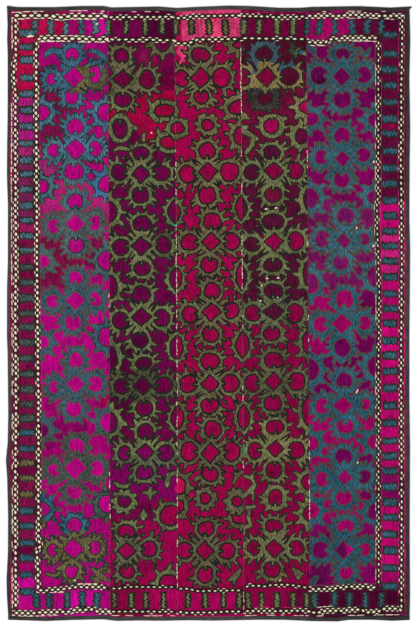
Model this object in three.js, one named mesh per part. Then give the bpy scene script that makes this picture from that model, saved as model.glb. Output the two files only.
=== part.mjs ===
// A flat embroidered rug of narrow cloth strips, for a floor or a bed.
//
// Five strips of cotton cloth, covered with couched silk, are sewn edge to edge. A cotton tape is
// folded over all four raw edges. The rug lies flat, and only its outline wavers a little.
//
// Units are millimetres, with +Z up. X runs across the strips and +Y towards the head end. The
// origin is on the ground under the middle of the rug.

import * as THREE from "three";

// ---- Driving sizes ----

// The straight lines that the four edges waver about.
const RUG_WIDTH = 1528;
const RUG_LENGTH = 2330;

const CLOTH_THICKNESS = 2.2; // ground cloth and couched stitches together
const CLOTH_SWELL = 0.3; // how much fuller a strip is along its middle than at its seams
const RIM_THICKNESS = 1.8; // the same cloth, pressed inside the binding
const SEAM_GAP = 0.3; // between two strips, where the seam thread runs

const TAPE_WIDTH = 15;
const TAPE_LEAF = 0.9; // one leaf of the folded tape, with its turned-in edge
const TAPE_FOLD = 1.6; // from the outer edge to the bottom of the fold
const TAPE_ROUNDING = 1.0;
const PRESS_GAP = 0.3; // between a leaf and the cloth that it holds
const CORNER_GAP = 0.4; // where a side tape butts against an end tape

const RIM_INSET = 6; // from the outer edge to the raw edge of the cloth
const RIM_REACH = 18; // the cloth stays pressed this far in from the outer edge
const RIM_SLOPE = 12; // and comes down to the ground over this width

const CLOTH_STEP = 58; // spacing of the cross sections along a strip

const KNOB_REACH = 6; // how far the head tape's knotted end sticks out at the right corner
const KNOB_WIDTH = 7;
const KNOB_SHOULDER = 1; // the tape narrows to the knob over this length

// Each seam's place across the rug at its head end, its middle and its foot end.
const SEAMS = [
  { head: -384, middle: -377, foot: -375 },
  { head: -130, middle: -121, foot: -119 },
  { head: 121, middle: 129, foot: 134 },
  { head: 371, middle: 379, foot: 385 },
];

// The waver of each edge: how far it stands out from its straight line, at places along it.
const HEAD_EDGE = [
  { along: -764, out: 4 },
  { along: -728, out: -1 },
  { along: -590, out: -1.5 },
  { along: -480, out: 3 },
  { along: -398, out: 3 },
  { along: -372, out: -2.5 },
  { along: -190, out: 1 },
  { along: -122, out: -4.5 },
  { along: -36, out: 0 },
  { along: 75, out: 4.5 },
  { along: 155, out: 3 },
  { along: 270, out: -4 },
  { along: 345, out: -4 },
  { along: 392, out: -0.5 },
  { along: 570, out: 2.5 },
  { along: 690, out: -3 },
  { along: 764, out: 1 },
];
const FOOT_EDGE = [
  { along: -764, out: -2 },
  { along: -620, out: 3 },
  { along: -520, out: -1 },
  { along: -400, out: -3.5 },
  { along: -350, out: 2.5 },
  { along: -265, out: 1 },
  { along: -180, out: 2 },
  { along: -80, out: 0 },
  { along: 20, out: 1.5 },
  { along: 190, out: -2 },
  { along: 290, out: -1.5 },
  { along: 385, out: 3 },
  { along: 490, out: 4.5 },
  { along: 535, out: -1.5 },
  { along: 620, out: -2 },
  { along: 700, out: 2 },
  { along: 764, out: -1 },
];
const LEFT_EDGE = [
  { along: -1165, out: -4 },
  { along: -1070, out: 2 },
  { along: -1013, out: 3.5 },
  { along: -900, out: -2 },
  { along: -766, out: -2.5 },
  { along: -625, out: 1 },
  { along: -557, out: 6 },
  { along: -490, out: -1 },
  { along: -386, out: -3 },
  { along: -272, out: -2 },
  { along: -150, out: -0.5 },
  { along: -85, out: 2 },
  { along: 105, out: 1.5 },
  { along: 190, out: -1.5 },
  { along: 405, out: -2 },
  { along: 526, out: 2 },
  { along: 640, out: 1 },
  { along: 780, out: -1 },
  { along: 985, out: -1 },
  { along: 1040, out: 1 },
  { along: 1100, out: -0.5 },
  { along: 1165, out: 2 },
];
const RIGHT_EDGE = [
  { along: -1165, out: -1 },
  { along: -1070, out: 1 },
  { along: -850, out: -0.5 },
  { along: -500, out: 1 },
  { along: -340, out: -1.5 },
  { along: -80, out: -1.5 },
  { along: 60, out: 0 },
  { along: 245, out: 1.5 },
  { along: 355, out: -1.5 },
  { along: 580, out: -0.5 },
  { along: 700, out: 1.5 },
  { along: 890, out: -1.5 },
  { along: 1040, out: 2 },
  { along: 1165, out: -1 },
];

// ---- Outline ----

// How far an edge stands out at one place: straight from row to row of its table.
function waver(edge, along) {
  const last = edge.length - 1;
  if (along <= edge[0].along) return edge[0].out;
  if (along >= edge[last].along) return edge[last].out;
  const next = edge.findIndex((row) => row.along > along);
  const before = edge[next - 1];
  const after = edge[next];
  return THREE.MathUtils.mapLinear(along, before.along, after.along, before.out, after.out);
}

const headLine = (x) => RUG_LENGTH / 2 + waver(HEAD_EDGE, x);
const footLine = (x) => -RUG_LENGTH / 2 - waver(FOOT_EDGE, x);
const leftLine = (y) => -RUG_WIDTH / 2 - waver(LEFT_EDGE, y);
const rightLine = (y) => RUG_WIDTH / 2 + waver(RIGHT_EDGE, y);

// Where a seam crosses the line y: a shallow curve through its three named places.
function seamLine(seam, y) {
  const share = y / (RUG_LENGTH / 2);
  const slant = (seam.head - seam.foot) / 2;
  const bow = (seam.head + seam.foot) / 2 - seam.middle;
  return seam.middle + slant * share + bow * share * share;
}

// ---- Solids ----

// One closed body from its points and triangles, turned so that its faces point out.
function closedBody(points, triangles) {
  const [a, b, c] = [new THREE.Vector3(), new THREE.Vector3(), new THREE.Vector3()];
  let volume = 0;
  for (const [i, j, k] of triangles) {
    a.copy(points[i]);
    b.copy(points[j]);
    c.copy(points[k]);
    volume += a.dot(b.cross(c)) / 6;
  }
  const facing = volume > 0 ? triangles : triangles.map(([i, j, k]) => [i, k, j]);
  const geometry = new THREE.BufferGeometry().setFromPoints(points);
  geometry.setIndex(facing.flat());
  geometry.computeVertexNormals();
  return geometry;
}

// A sheet between an upper and a lower surface, each given over the same grid of places.
function sheetBody(columns, rows, upper, lower) {
  const points = [];
  for (const surface of [upper, lower]) {
    for (let row = 0; row < rows; row++) {
      for (let column = 0; column < columns; column++) {
        points.push(surface(column, row));
      }
    }
  }
  const at = (layer, column, row) => (layer * rows + row) * columns + column;
  const triangles = [];
  const quad = (a, b, c, d) => triangles.push([a, b, c], [a, c, d]);
  for (let row = 0; row + 1 < rows; row++) {
    for (let column = 0; column + 1 < columns; column++) {
      const corners = [[column, row], [column + 1, row], [column + 1, row + 1], [column, row + 1]];
      quad(...corners.map(([i, j]) => at(0, i, j)));
      quad(...corners.map(([i, j]) => at(1, i, j)).reverse());
    }
  }
  // The walls, from each grid point on the rim to the next, once round.
  const right = columns - 1;
  const far = rows - 1;
  const rim = [
    ...Array.from({ length: right }, (_, i) => [i, 0]),
    ...Array.from({ length: far }, (_, i) => [right, i]),
    ...Array.from({ length: right }, (_, i) => [right - i, far]),
    ...Array.from({ length: far }, (_, i) => [0, far - i]),
  ];
  rim.forEach(([i, j], index) => {
    const [nextI, nextJ] = rim[(index + 1) % rim.length];
    quad(at(0, nextI, nextJ), at(0, i, j), at(1, i, j), at(1, nextI, nextJ));
  });
  return closedBody(points, triangles);
}

// A long piece with a closed section at every station, capped at both ends. Each section is an
// outline of Vector2 corners, counterclockwise, and put moves a corner to its station.
function sweptBody(stationList, section, put) {
  const corners = section(stationList[0]).length;
  const points = stationList.flatMap((station) => section(station).map((corner) => put(station, corner)));
  const triangles = [];
  for (let station = 0; station + 1 < stationList.length; station++) {
    for (let corner = 0; corner < corners; corner++) {
      const a = station * corners + corner;
      const b = station * corners + ((corner + 1) % corners);
      triangles.push([a, b, b + corners], [a, b + corners, a + corners]);
    }
  }
  const last = (stationList.length - 1) * corners;
  for (const [i, j, k] of THREE.ShapeUtils.triangulateShape(section(stationList[0]), [])) {
    triangles.push([i, k, j], [last + i, last + j, last + k]);
  }
  return closedBody(points, triangles);
}

// ---- Cloth strips ----

// Places between two ends: the pressed rim and its slope where an end is bound, then even steps.
function stations(from, to, step, startBound, endBound) {
  const rim = [0, RIM_REACH - RIM_INSET, RIM_REACH - RIM_INSET + RIM_SLOPE];
  const opening = startBound ? rim.map((width) => from + width) : [from];
  const closing = endBound ? rim.map((width) => to - width).reverse() : [to];
  const start = opening.at(-1);
  const count = Math.max(2, Math.round((closing[0] - start) / step));
  const between = [];
  for (let i = 1; i < count; i++) {
    between.push(start + ((closing[0] - start) * i) / count);
  }
  return [...opening, ...between, ...closing];
}

// How much the cloth is lifted at a distance in from the outer edge of the rug.
function rimLift(inward) {
  const share = 1 - THREE.MathUtils.clamp((inward - RIM_REACH) / RIM_SLOPE, 0, 1);
  return share * (TAPE_LEAF + PRESS_GAP);
}

function clothStrip(leftSide, rightSide, leftBound, rightBound) {
  const half = RUG_LENGTH / 2 - RIM_INSET;
  const width = rightSide(0) - leftSide(0);
  const across = stations(0, width, width / 4, leftBound, rightBound);
  const along = stations(-half, half, CLOTH_STEP, true, true);

  // The plan place of a grid point, its distance in from the bound edges, and its place across.
  const place = (column, row) => {
    const y0 = along[row];
    const fromLeft = across[column];
    const fromRight = width - fromLeft;
    const share = fromLeft / width;
    const left = leftSide(y0) + fromLeft;
    const right = rightSide(y0) - fromRight;
    const x = THREE.MathUtils.lerp(left, right, share);
    const end = THREE.MathUtils.smoothstep(y0, -half, half);
    const footY = footLine(x) + RIM_INSET + (y0 + half);
    const headY = headLine(x) - RIM_INSET - (half - y0);
    const y = THREE.MathUtils.lerp(footY, headY, end);
    const ends = RIM_INSET + half - Math.abs(y0);
    const sides = [leftBound ? fromLeft : Infinity, rightBound ? fromRight : Infinity];
    const inward = Math.min(ends, ...sides.map((side) => side + RIM_INSET));
    return { x, y, inward, share };
  };

  const lower = (column, row) => {
    const { x, y, inward } = place(column, row);
    return new THREE.Vector3(x, y, rimLift(inward));
  };
  const upper = (column, row) => {
    const { x, y, inward, share } = place(column, row);
    const pressed = rimLift(inward) / rimLift(0);
    const full = CLOTH_THICKNESS + CLOTH_SWELL * Math.sin(Math.PI * share);
    const thickness = THREE.MathUtils.lerp(full, RIM_THICKNESS, pressed);
    return new THREE.Vector3(x, y, rimLift(inward) + thickness);
  };
  return sheetBody(across.length, along.length, upper, lower);
}

// ---- Binding ----

// The folded tape's section: x is the distance in from the rug's outer edge and y is the height.
function tapeSection(width) {
  const height = 2 * TAPE_LEAF + 2 * PRESS_GAP + RIM_THICKNESS;
  const outline = [
    [TAPE_ROUNDING, 0],
    [width, 0],
    [width, TAPE_LEAF],
    [TAPE_FOLD, TAPE_LEAF],
    [TAPE_FOLD, height - TAPE_LEAF],
    [width, height - TAPE_LEAF],
    [width, height],
    [TAPE_ROUNDING, height],
    [0, height - TAPE_ROUNDING],
    [0, TAPE_ROUNDING],
  ];
  return outline.map(([inward, z]) => new THREE.Vector2(inward, z));
}

// Places for a tape's sections: its two ends, and every row of its edge table between them.
function tapePlaces(edge, from, to) {
  const rows = edge.map((row) => row.along);
  return [from, ...rows.filter((along) => along > from && along < to), to];
}

// Tape along the head or foot edge. It covers both corners.
function endTape(edge, line, inwardSign, cornerY, withKnob) {
  const right = rightLine(cornerY);
  const places = tapePlaces(edge, leftLine(cornerY), right).map((x) => ({ x, width: TAPE_WIDTH }));
  if (withKnob) {
    places.push({ x: right + KNOB_SHOULDER, width: KNOB_WIDTH });
    places.push({ x: RUG_WIDTH / 2 + KNOB_REACH, width: KNOB_WIDTH });
  }
  const section = ({ width }) => tapeSection(width);
  const put = ({ x }, corner) => new THREE.Vector3(x, line(x) + inwardSign * corner.x, corner.y);
  return sweptBody(places, section, put);
}

// Tape along the left or right edge, butted against the two end tapes.
function sideTape(edge, line, inwardSign) {
  const buttAgainst = (endLine, cornerY, nearest) => {
    const outer = line(cornerY);
    return nearest(endLine(outer), endLine(outer + inwardSign * TAPE_WIDTH));
  };
  const top = buttAgainst(headLine, RUG_LENGTH / 2, Math.min) - TAPE_WIDTH - CORNER_GAP;
  const bottom = buttAgainst(footLine, -RUG_LENGTH / 2, Math.max) + TAPE_WIDTH + CORNER_GAP;
  const section = () => tapeSection(TAPE_WIDTH);
  const put = (y, corner) => new THREE.Vector3(line(y) + inwardSign * corner.x, y, corner.y);
  return sweptBody(tapePlaces(edge, bottom, top), section, put);
}

// ---- Assembly ----

const FINISHES = {
  strip_left: { color: "#8f1068", roughness: 0.55 },
  strip_mid_left: { color: "#5d4a40", roughness: 0.55 },
  strip_centre: { color: "#8c2b48", roughness: 0.55 },
  strip_mid_right: { color: "#6a4a3c", roughness: 0.55 },
  strip_right: { color: "#5a2a68", roughness: 0.55 },
  binding: { color: "#2c2c2e", roughness: 0.85 },
};

function piece(name, geometry, finish) {
  const material = new THREE.MeshStandardMaterial({ ...finish, metalness: 0 });
  const mesh = new THREE.Mesh(geometry, material);
  mesh.name = name;
  return mesh;
}

// The two sides of each strip: a bound raw edge on the outside of the rug, a seam elsewhere.
const boundLeft = (y) => leftLine(y) + RIM_INSET;
const boundRight = (y) => rightLine(y) - RIM_INSET;
const seamRightOf = (index) => (y) => seamLine(SEAMS[index], y) + SEAM_GAP / 2;
const seamLeftOf = (index) => (y) => seamLine(SEAMS[index], y) - SEAM_GAP / 2;
const STRIPS = [
  { name: "strip_left", left: boundLeft, right: seamLeftOf(0), bound: "left" },
  { name: "strip_mid_left", left: seamRightOf(0), right: seamLeftOf(1), bound: "none" },
  { name: "strip_centre", left: seamRightOf(1), right: seamLeftOf(2), bound: "none" },
  { name: "strip_mid_right", left: seamRightOf(2), right: seamLeftOf(3), bound: "none" },
  { name: "strip_right", left: seamRightOf(3), right: boundRight, bound: "right" },
];

const rug = new THREE.Group();
for (const { name, left, right, bound } of STRIPS) {
  const cloth = clothStrip(left, right, bound === "left", bound === "right");
  rug.add(piece(name, cloth, FINISHES[name]));
}
rug.add(piece("binding_head", endTape(HEAD_EDGE, headLine, -1, RUG_LENGTH / 2, true), FINISHES.binding));
rug.add(piece("binding_foot", endTape(FOOT_EDGE, footLine, 1, -RUG_LENGTH / 2, false), FINISHES.binding));
rug.add(piece("binding_left", sideTape(LEFT_EDGE, leftLine, 1), FINISHES.binding));
rug.add(piece("binding_right", sideTape(RIGHT_EDGE, rightLine, -1), FINISHES.binding));

export default rug;
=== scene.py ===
"""An embroidered rug of five silk-covered strips, sewn edge to edge and bound in folded black tape.

Everything is laid out in millimetres, as a maker marks it on the cloth, and turned to metres when a
mesh is made. X runs across the strips, +Y is the head end, and the rug lies on the ground at Z = 0.
"""

import math

import bpy
import numpy as np
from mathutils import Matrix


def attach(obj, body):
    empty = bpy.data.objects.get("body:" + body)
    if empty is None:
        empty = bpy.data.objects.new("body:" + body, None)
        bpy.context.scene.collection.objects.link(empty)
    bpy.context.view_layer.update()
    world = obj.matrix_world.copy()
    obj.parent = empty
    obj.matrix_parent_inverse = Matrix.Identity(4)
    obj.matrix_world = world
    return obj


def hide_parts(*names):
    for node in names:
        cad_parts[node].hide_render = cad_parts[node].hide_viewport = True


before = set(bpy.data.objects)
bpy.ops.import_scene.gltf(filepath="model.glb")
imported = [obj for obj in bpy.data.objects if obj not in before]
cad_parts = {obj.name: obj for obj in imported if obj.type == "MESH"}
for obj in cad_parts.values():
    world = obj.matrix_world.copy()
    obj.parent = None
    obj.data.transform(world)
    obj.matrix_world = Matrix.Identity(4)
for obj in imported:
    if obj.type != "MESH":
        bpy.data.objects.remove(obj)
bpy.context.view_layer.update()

MM = 0.001

# ---- Camera: straight above the rug, a little left of its middle ----

LENS = 85.0
SENSOR = 36.0
VIEW_LENGTH = 2382.0  # mm of ground that the long side of the picture takes in
VIEW_X = -2.3

camera = bpy.data.objects.new("camera", bpy.data.cameras.new("camera"))
camera.data.lens = LENS
camera.data.sensor_width = SENSOR
camera.data.clip_end = 100
camera.location = (VIEW_X * MM, 0, VIEW_LENGTH * MM * LENS / SENSOR)
bpy.context.scene.collection.objects.link(camera)
bpy.context.scene.camera = camera

# ---- Sizes of the cloth and the binding, in mm ----

RUG_LENGTH = 2330.0
CLOTH_THICKNESS = 2.2
CLOTH_SWELL = 0.3  # how much fuller a strip is along its middle
RIM_THICKNESS = 1.8  # the cloth pressed inside the binding
RIM_INSET = 6.0  # from the rug's outer edge to the raw edge of the cloth
RIM_REACH = 18.0
RIM_SLOPE = 12.0
SEAM_GAP = 0.3
TAPE_WIDTH = 15.0
TAPE_LEAF = 0.9
PRESS_GAP = 0.3
TAPE_CUT = 36.0  # the tape before it was folded
TAPE_FOLD = 1.6  # from the outer edge to the bottom of the fold
KNOB_REACH = 7.4  # the knotted end of the head tape, past the right side
KNOB_TIP = 1.4  # the last of it, drawn in to a blunt end
KNOB_SHARE = 0.47  # of the tape's width, where it was rolled into the knot
LEFT_TAPE_SHARE = 0.78  # the left side was bound in a narrower tape

HALF = RUG_LENGTH / 2 - RIM_INSET
TAPE_HEIGHT = 2 * TAPE_LEAF + 2 * PRESS_GAP + RIM_THICKNESS

# Each seam's place across the rug at its head end, its middle and its foot end.
SEAMS = ((-384, -377, -375), (-130, -121, -119), (121, 129, 134), (371, 379, 385))
STRIPS = ("strip_left", "strip_mid_left", "strip_centre", "strip_mid_right", "strip_right")


def tape_line(node, along, out, outermost):
    """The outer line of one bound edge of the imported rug: places along it, and how far out it is."""
    corners = np.array([vertex.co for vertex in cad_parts[node].data.vertices]) / MM
    places = np.unique(np.round(corners[:, along], 1))
    lines = [outermost(corners[abs(corners[:, along] - place) < 0.2, out]) for place in places]
    return places, np.array(lines)


HEAD_EDGE = tape_line("binding_head", 0, 1, np.max)
FOOT_EDGE = tape_line("binding_foot", 0, 1, np.min)
LEFT_EDGE = tape_line("binding_left", 1, 0, np.min)
RIGHT_EDGE = tape_line("binding_right", 1, 0, np.max)


def seam_line(number, y):
    """Where a seam crosses the line y: a shallow curve through its three places."""
    head, middle, foot = SEAMS[number]
    share = y / (RUG_LENGTH / 2)
    return middle + (head - foot) / 2 * share + ((head + foot) / 2 - middle) * share**2


def strip_side(number, y):
    """The side to the left of strip `number`: a bound edge outside the first and last, else a seam."""
    if number == 0:
        return np.interp(y, *LEFT_EDGE) + RIM_INSET
    if number == len(STRIPS):
        return np.interp(y, *RIGHT_EDGE) - RIM_INSET
    return seam_line(number - 1, y)


def smooth(share):
    share = np.clip(share, 0, 1)
    return share * share * (3 - 2 * share)


# ---- Dyes ----

DYES = {
    "magenta": "#b0007a", "deep_magenta": "#a0006e", "hot_magenta": "#c80092", "fuchsia": "#ac0072",
    "faded_fuchsia": "#aa1a70", "orchid": "#a81878", "heather": "#982468", "damson": "#761e4f",
    "mulberry": "#981458", "maroon": "#7a0c44", "dark_maroon": "#67003c", "scarlet": "#b4084a",
    "deep_scarlet": "#a50040", "edge_plum": "#8a1050", "wine": "#6c0040", "cherry": "#9a003c",
    "grape": "#680042", "dark_grape": "#510034", "berry": "#900048", "crimson": "#970045",
    "bright_crimson": "#b00850", "rose": "#cc3a6c", "pale_rose": "#de3f72", "claret": "#82033c",
    "dark_claret": "#6c0038", "oxblood": "#4e0826", "garnet": "#680b33", "dark_plum": "#500c2e",
    "raspberry": "#83003e", "light_berry": "#a20054", "bright_raspberry": "#900044",
    "hot_raspberry": "#a80550", "aubergine": "#68004e", "purple": "#780056", "violet": "#731058",
    "bright_purple": "#95005c", "royal_purple": "#5a0446", "purple_wine": "#7e0058",
    "ink_wine": "#5a0434", "hot_pink": "#c20072", "pale_pink": "#c01a74", "bright_pink": "#b20068",
    "dull_pink": "#a90062", "pink_wine": "#9a0060", "night": "#48002b", "slate_blue": "#3e5f73",
    "pale_slate": "#48697e", "grey_slate": "#48646f", "blue_grey": "#4a5c60", "dark_slate": "#3c5662",
    "grey_green": "#404e4b", "bright_blue": "#42688a", "indigo": "#375d76", "deep_blue": "#37535f",
    "ash_blue": "#40515e", "teal": "#335865", "light_teal": "#4a6874", "pale_teal": "#3b5f6d",
    "sea_teal": "#31596a", "deep_teal": "#2c5364", "moss": "#666a48", "dull_moss": "#5c6046",
    "light_moss": "#767250", "grey_moss": "#585a44", "dark_moss": "#4c4e38", "deep_moss": "#393c2b",
    "olive": "#645c3f", "dark_olive": "#58573f", "bronze_olive": "#6a6345", "old_bronze": "#635e43",
    "dark_bronze": "#5a5740", "khaki": "#76734e", "dull_khaki": "#686747", "tan": "#7a6d49",
    "charcoal": "#3a3632", "green_black": "#20231f", "blue_black": "#27302f", "soot": "#2e2826",
    "brown": "#54483b", "olive_thread": "#464439",
}


def linear(colour):
    """A linear colour from an sRGB hex value."""
    parts = [int(colour[i : i + 2], 16) / 255 for i in (1, 3, 5)]
    return tuple(p / 12.92 if p <= 0.04045 else ((p + 0.055) / 1.055) ** 2.4 for p in parts)


# The ground silk, from the head down: each dye begins at y and runs to the next.
GROUND = {
    "strip_left": (
        (1200, "deep_magenta"), (806, "fuchsia"), (505, "faded_fuchsia"), (292, "fuchsia"),
        (92, "magenta"), (-298, "deep_magenta"),
    ),
    "strip_mid_left": (
        (1200, "wine"), (905, "dark_claret"), (836, "cherry"), (632, "grape"), (-481, "wine"),
        (-785, "berry"),
    ),
    "strip_centre": (
        (1200, "crimson"),
    ),
    "strip_mid_right": (
        (1200, "oxblood"), (918, "garnet"), (583, "dark_plum"), (51, "raspberry"),
    ),
    "strip_right": (
        (1200, "aubergine"), (773, "purple"), (440, "violet"), (89, "bright_purple"),
        (-95, "aubergine"), (-315, "bright_purple"), (-785, "purple"),
    ),
}
# The motifs' silk, laid the same way.
MOTIF = {
    "strip_left": (
        (1200, "slate_blue"), (840, "pale_slate"), (585, "grey_slate"), (395, "blue_grey"),
        (155, "dark_slate"), (-448, "grey_green"), (-785, "olive"),
    ),
    "strip_mid_left": (
        (1200, "old_bronze"), (840, "moss"), (-212, "dark_moss"), (-335, "moss"), (-530, "grey_moss"),
        (-632, "moss"), (-812, "grey_moss"),
    ),
    "strip_centre": (
        (1200, "bronze_olive"), (410, "old_bronze"), (-398, "dark_bronze"),
    ),
    "strip_mid_right": (
        (1200, "tan"), (800, "light_moss"), (700, "moss"), (100, "dull_moss"), (-100, "dark_olive"),
        (-400, "khaki"), (-520, "dull_khaki"), (-940, "old_bronze"),
    ),
    "strip_right": (
        (1200, "teal"), (505, "pale_teal"), (100, "sea_teal"), (-690, "deep_teal"),
    ),
}
# The thread that outlines the motifs.
OUTLINE = {
    "strip_left": (
        (1200, "blue_black"), (500, "brown"), (-785, "soot"),
    ),
    "strip_mid_left": (
        (1200, "green_black"),
    ),
    "strip_centre": (
        (1200, "green_black"),
    ),
    "strip_mid_right": (
        (1200, "green_black"),
    ),
    "strip_right": (
        (1200, "brown"), (-300, "olive_thread"),
    ),
}
# Where a strip's outline was couched double, in the dark thread: x, y and reach.
DARK_OUTLINES = {
    "strip_left": (
        (-637, 762, 62), (-386, 762, 62), (-637, 481, 62), (-386, 492, 62), (-386, 200, 62),
        (-386, -89, 62), (-637, -743, 60), (-386, -724, 60), (-506, 424, 38), (-504, 260, 38),
        (-513, -893, 140),
    ),
}
# Silk from another bath, laid in blocks over the bands: x from, x to, y from, y to.
GROUND_BLOCKS = {
    "maroon": (
        (-648, -545, 640, 927), (-560, -513, 760, 860), (-648, -540, 88, 300), (-580, -425, 175, 240),
        (-445, -400, 236, 300), (-262, -196, 905, 1022),
    ),
    "purple_wine": ((-645, -478, -508, -418), (-560, -455, -450, -400)),
    "grape": ((-383, -250, 600, 692),),
    "dark_grape": ((-374, -212, -322, -112), (-374, -296, -398, -322)),
    "berry": ((-215, -119, -824, -700),),
    "crimson": ((-412, -380, -350, -300), (-190, -119, -812, -705)),
    "rose": ((-117, -94, 950, 1014),),
    "bright_crimson": ((-118, -60, -700, -625),),
    "bright_raspberry": (
        (205, 290, 500, 590), (300, 380, 490, 590), (205, 290, 230, 310), (300, 380, 230, 320),
        (205, 290, -30, 45),
    ),
    "heather": ((-648, -572, 512, 648),),
    "purple": ((-374, -119, -712, -505),),
    "claret": ((-374, -318, -1040, -935),),
    "aubergine": ((566, 648, -165, 88), (568, 648, -704, -528), (384, 470, -1040, -840)),
    "royal_purple": ((480, 512, -580, -510), (384, 452, -1038, -935), (602, 650, -800, -700)),
    "pink_wine": ((415, 455, 70, 110),),
    "fuchsia": ((522, 560, -940, -850),),
    "bright_purple": ((384, 445, -160, -95),),
}
MOTIF_BLOCKS = {
    "olive": ((-512, -360, 838, 942), (-525, -500, 840, 860)),
    "dark_moss": ((-460, -360, 838, 942), (-200, -135, 150, 320)),
    "light_teal": ((-645, -566, 588, 682),),
    "bright_blue": ((-470, -386, 440, 560),),
    "deep_blue": ((-490, -400, -10, 104),),
    "indigo": ((-580, -440, -838, -747), (-640, -590, -785, -672)),
    "ash_blue": ((150, 272, 957, 1040), (170, 190, 918, 960), (268, 345, 926, 975)),
    "deep_moss": ((295, 345, 965, 1040), (115, 145, 975, 1040)),
    "teal": ((346, 380, 975, 1000),),
    "charcoal": ((140, 298, 768, 856),),
    "tan": ((204, 226, 832, 870),),
    "moss": ((-215, -125, -1040, -960),),
}
# The silk inside the discs and diamonds of a strip, and the middles of those that were filled from
# another bath.
DISC_SILK = {"strip_left": "magenta", "strip_centre": "crimson"}
DISC_REACH = 36.0
OTHER_DISCS = {
    "strip_left": {
        "aubergine": ((-637, -443),),
    },
    "strip_mid_left": {
        "grape": ((-336, 703), (-257, 608), (-171, -273)),
        "wine": ((-329, 815), (-243, -359)),
        "dark_grape": ((-261, -100), (-249, -275), (-247, -191), (-329, -277), (-379, -169)),
    },
    "strip_centre": {
        "claret": ((-30, 981),),
        "bright_crimson": ((-120, -664),),
    },
    "strip_mid_right": {
        "claret": ((220, 899),),
        "oxblood": ((213, 986), (304, 899), (214, 819)),
        "garnet": ((133, 897), (245, 453), (383, 152)),
        "light_berry": ((240, 713),),
        "ink_wine": ((353, 673),),
        "hot_raspberry": ((374, 782),),
        "raspberry": ((247, 540), (329, 542), (169, 2), (330, 2), (241, -75)),
        "dark_plum": ((242, 611), (164, 537), (246, 349), (166, 262), (244, 184), (248, 7), (246, 84)),
        "bright_raspberry": ((248, 272), (332, 275)),
    },
    "strip_right": {
        "bright_purple": (
            (507, -38), (517, 53), (427, -42), (591, -36), (511, -350), (431, -351), (595, -345),
            (519, -429), (518, -623), (431, -629), (514, -699), (519, -808), (594, -897), (522, -981),
            (385, -494), (636, -488),
        ),
        "royal_purple": ((592, -619), (487, -897), (510, 984), (420, 903)),
        "aubergine": (
            (507, -129), (515, -256), (512, -543), (426, -899), (385, -213), (636, -200), (636, -752),
        ),
    },
}
# The border's ground outside the inner braid: down its two sides, and from left to right at its ends.
LEFT_BORDER = (
    (1200, "scarlet"), (834, "orchid"), (640, "heather"), (583, "damson"), (353, "mulberry"),
    (296, "maroon"), (-568, "dark_maroon"), (-625, "maroon"), (-870, "dark_maroon"),
    (-929, "pink_wine"), (-992, "hot_magenta"),
)
RIGHT_BORDER = (
    (1200, "ink_wine"), (739, "dark_claret"), (682, "ink_wine"), (429, "hot_pink"), (312, "pale_pink"),
    (139, "bright_pink"), (76, "dull_pink"), (-38, "hot_pink"), (-220, "dull_pink"),
    (-350, "bright_pink"), (-597, "purple_wine"), (-716, "bright_pink"), (-901, "hot_pink"),
    (-967, "pink_wine"),
)
HEAD_BORDER = (
    (-760, "scarlet"), (-599, "deep_scarlet"), (-542, "pink_wine"), (-483, "magenta"),
    (-428, "hot_magenta"), (-382, "grape"), (-240, "dark_grape"), (-177, "night"),
    (-122, "bright_crimson"), (-100, "rose"), (-20, "pale_rose"), (60, "rose"), (124, "dark_claret"),
    (374, "pink_wine"), (421, "dull_pink"), (478, "pink_wine"), (602, "night"),
)
FOOT_BORDER = (
    (-760, "magenta"), (-538, "hot_magenta"), (-424, "magenta"), (-378, "raspberry"),
    (-238, "light_berry"), (132, "raspberry"), (319, "dark_claret"), (384, "night"),
)
# Outside the outer braid, and odd patches, as blocks too.
BORDER_BLOCKS = {
    "edge_plum": ((-770, -744, -1140, 1170), (-770, -381, 1143, 1170)),
    "rose": ((-122, 122, 1143, 1170),),
    "ink_wine": ((374, 770, 1144, 1170), (744, 770, 429, 1170), (560, 640, 1050, 1130)),
    "pink_wine": ((744, 770, -1170, 429),),
    "crimson": ((693, 707, 705, 720),),
}
# Darker patches on the cloth: x, y and half sizes, and the share of their colour that they take away.
DARK_PATCHES = {"strip_right": ((473, 989, 14, 20), (424, 878, 34, 11), (393, 992, 9, 22))}
DARK_PATCH_DEPTH = 0.6
# The silk of the border's bars, side by side with its ground.
LEFT_BARS = (
    (1200, "light_teal"), (238, "grey_green"), (-440, "teal"), (-540, "olive"), (-730, "teal"),
)
RIGHT_BARS = ((1200, "teal"),)
HEAD_BARS = ((-760, "light_teal"), (-385, "moss"), (-124, "olive"), (124, "moss"), (365, "teal"))
FOOT_BARS = ((-760, "teal"), (-380, "moss"), (395, "teal"))

# ---- The guard braids ----

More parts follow.
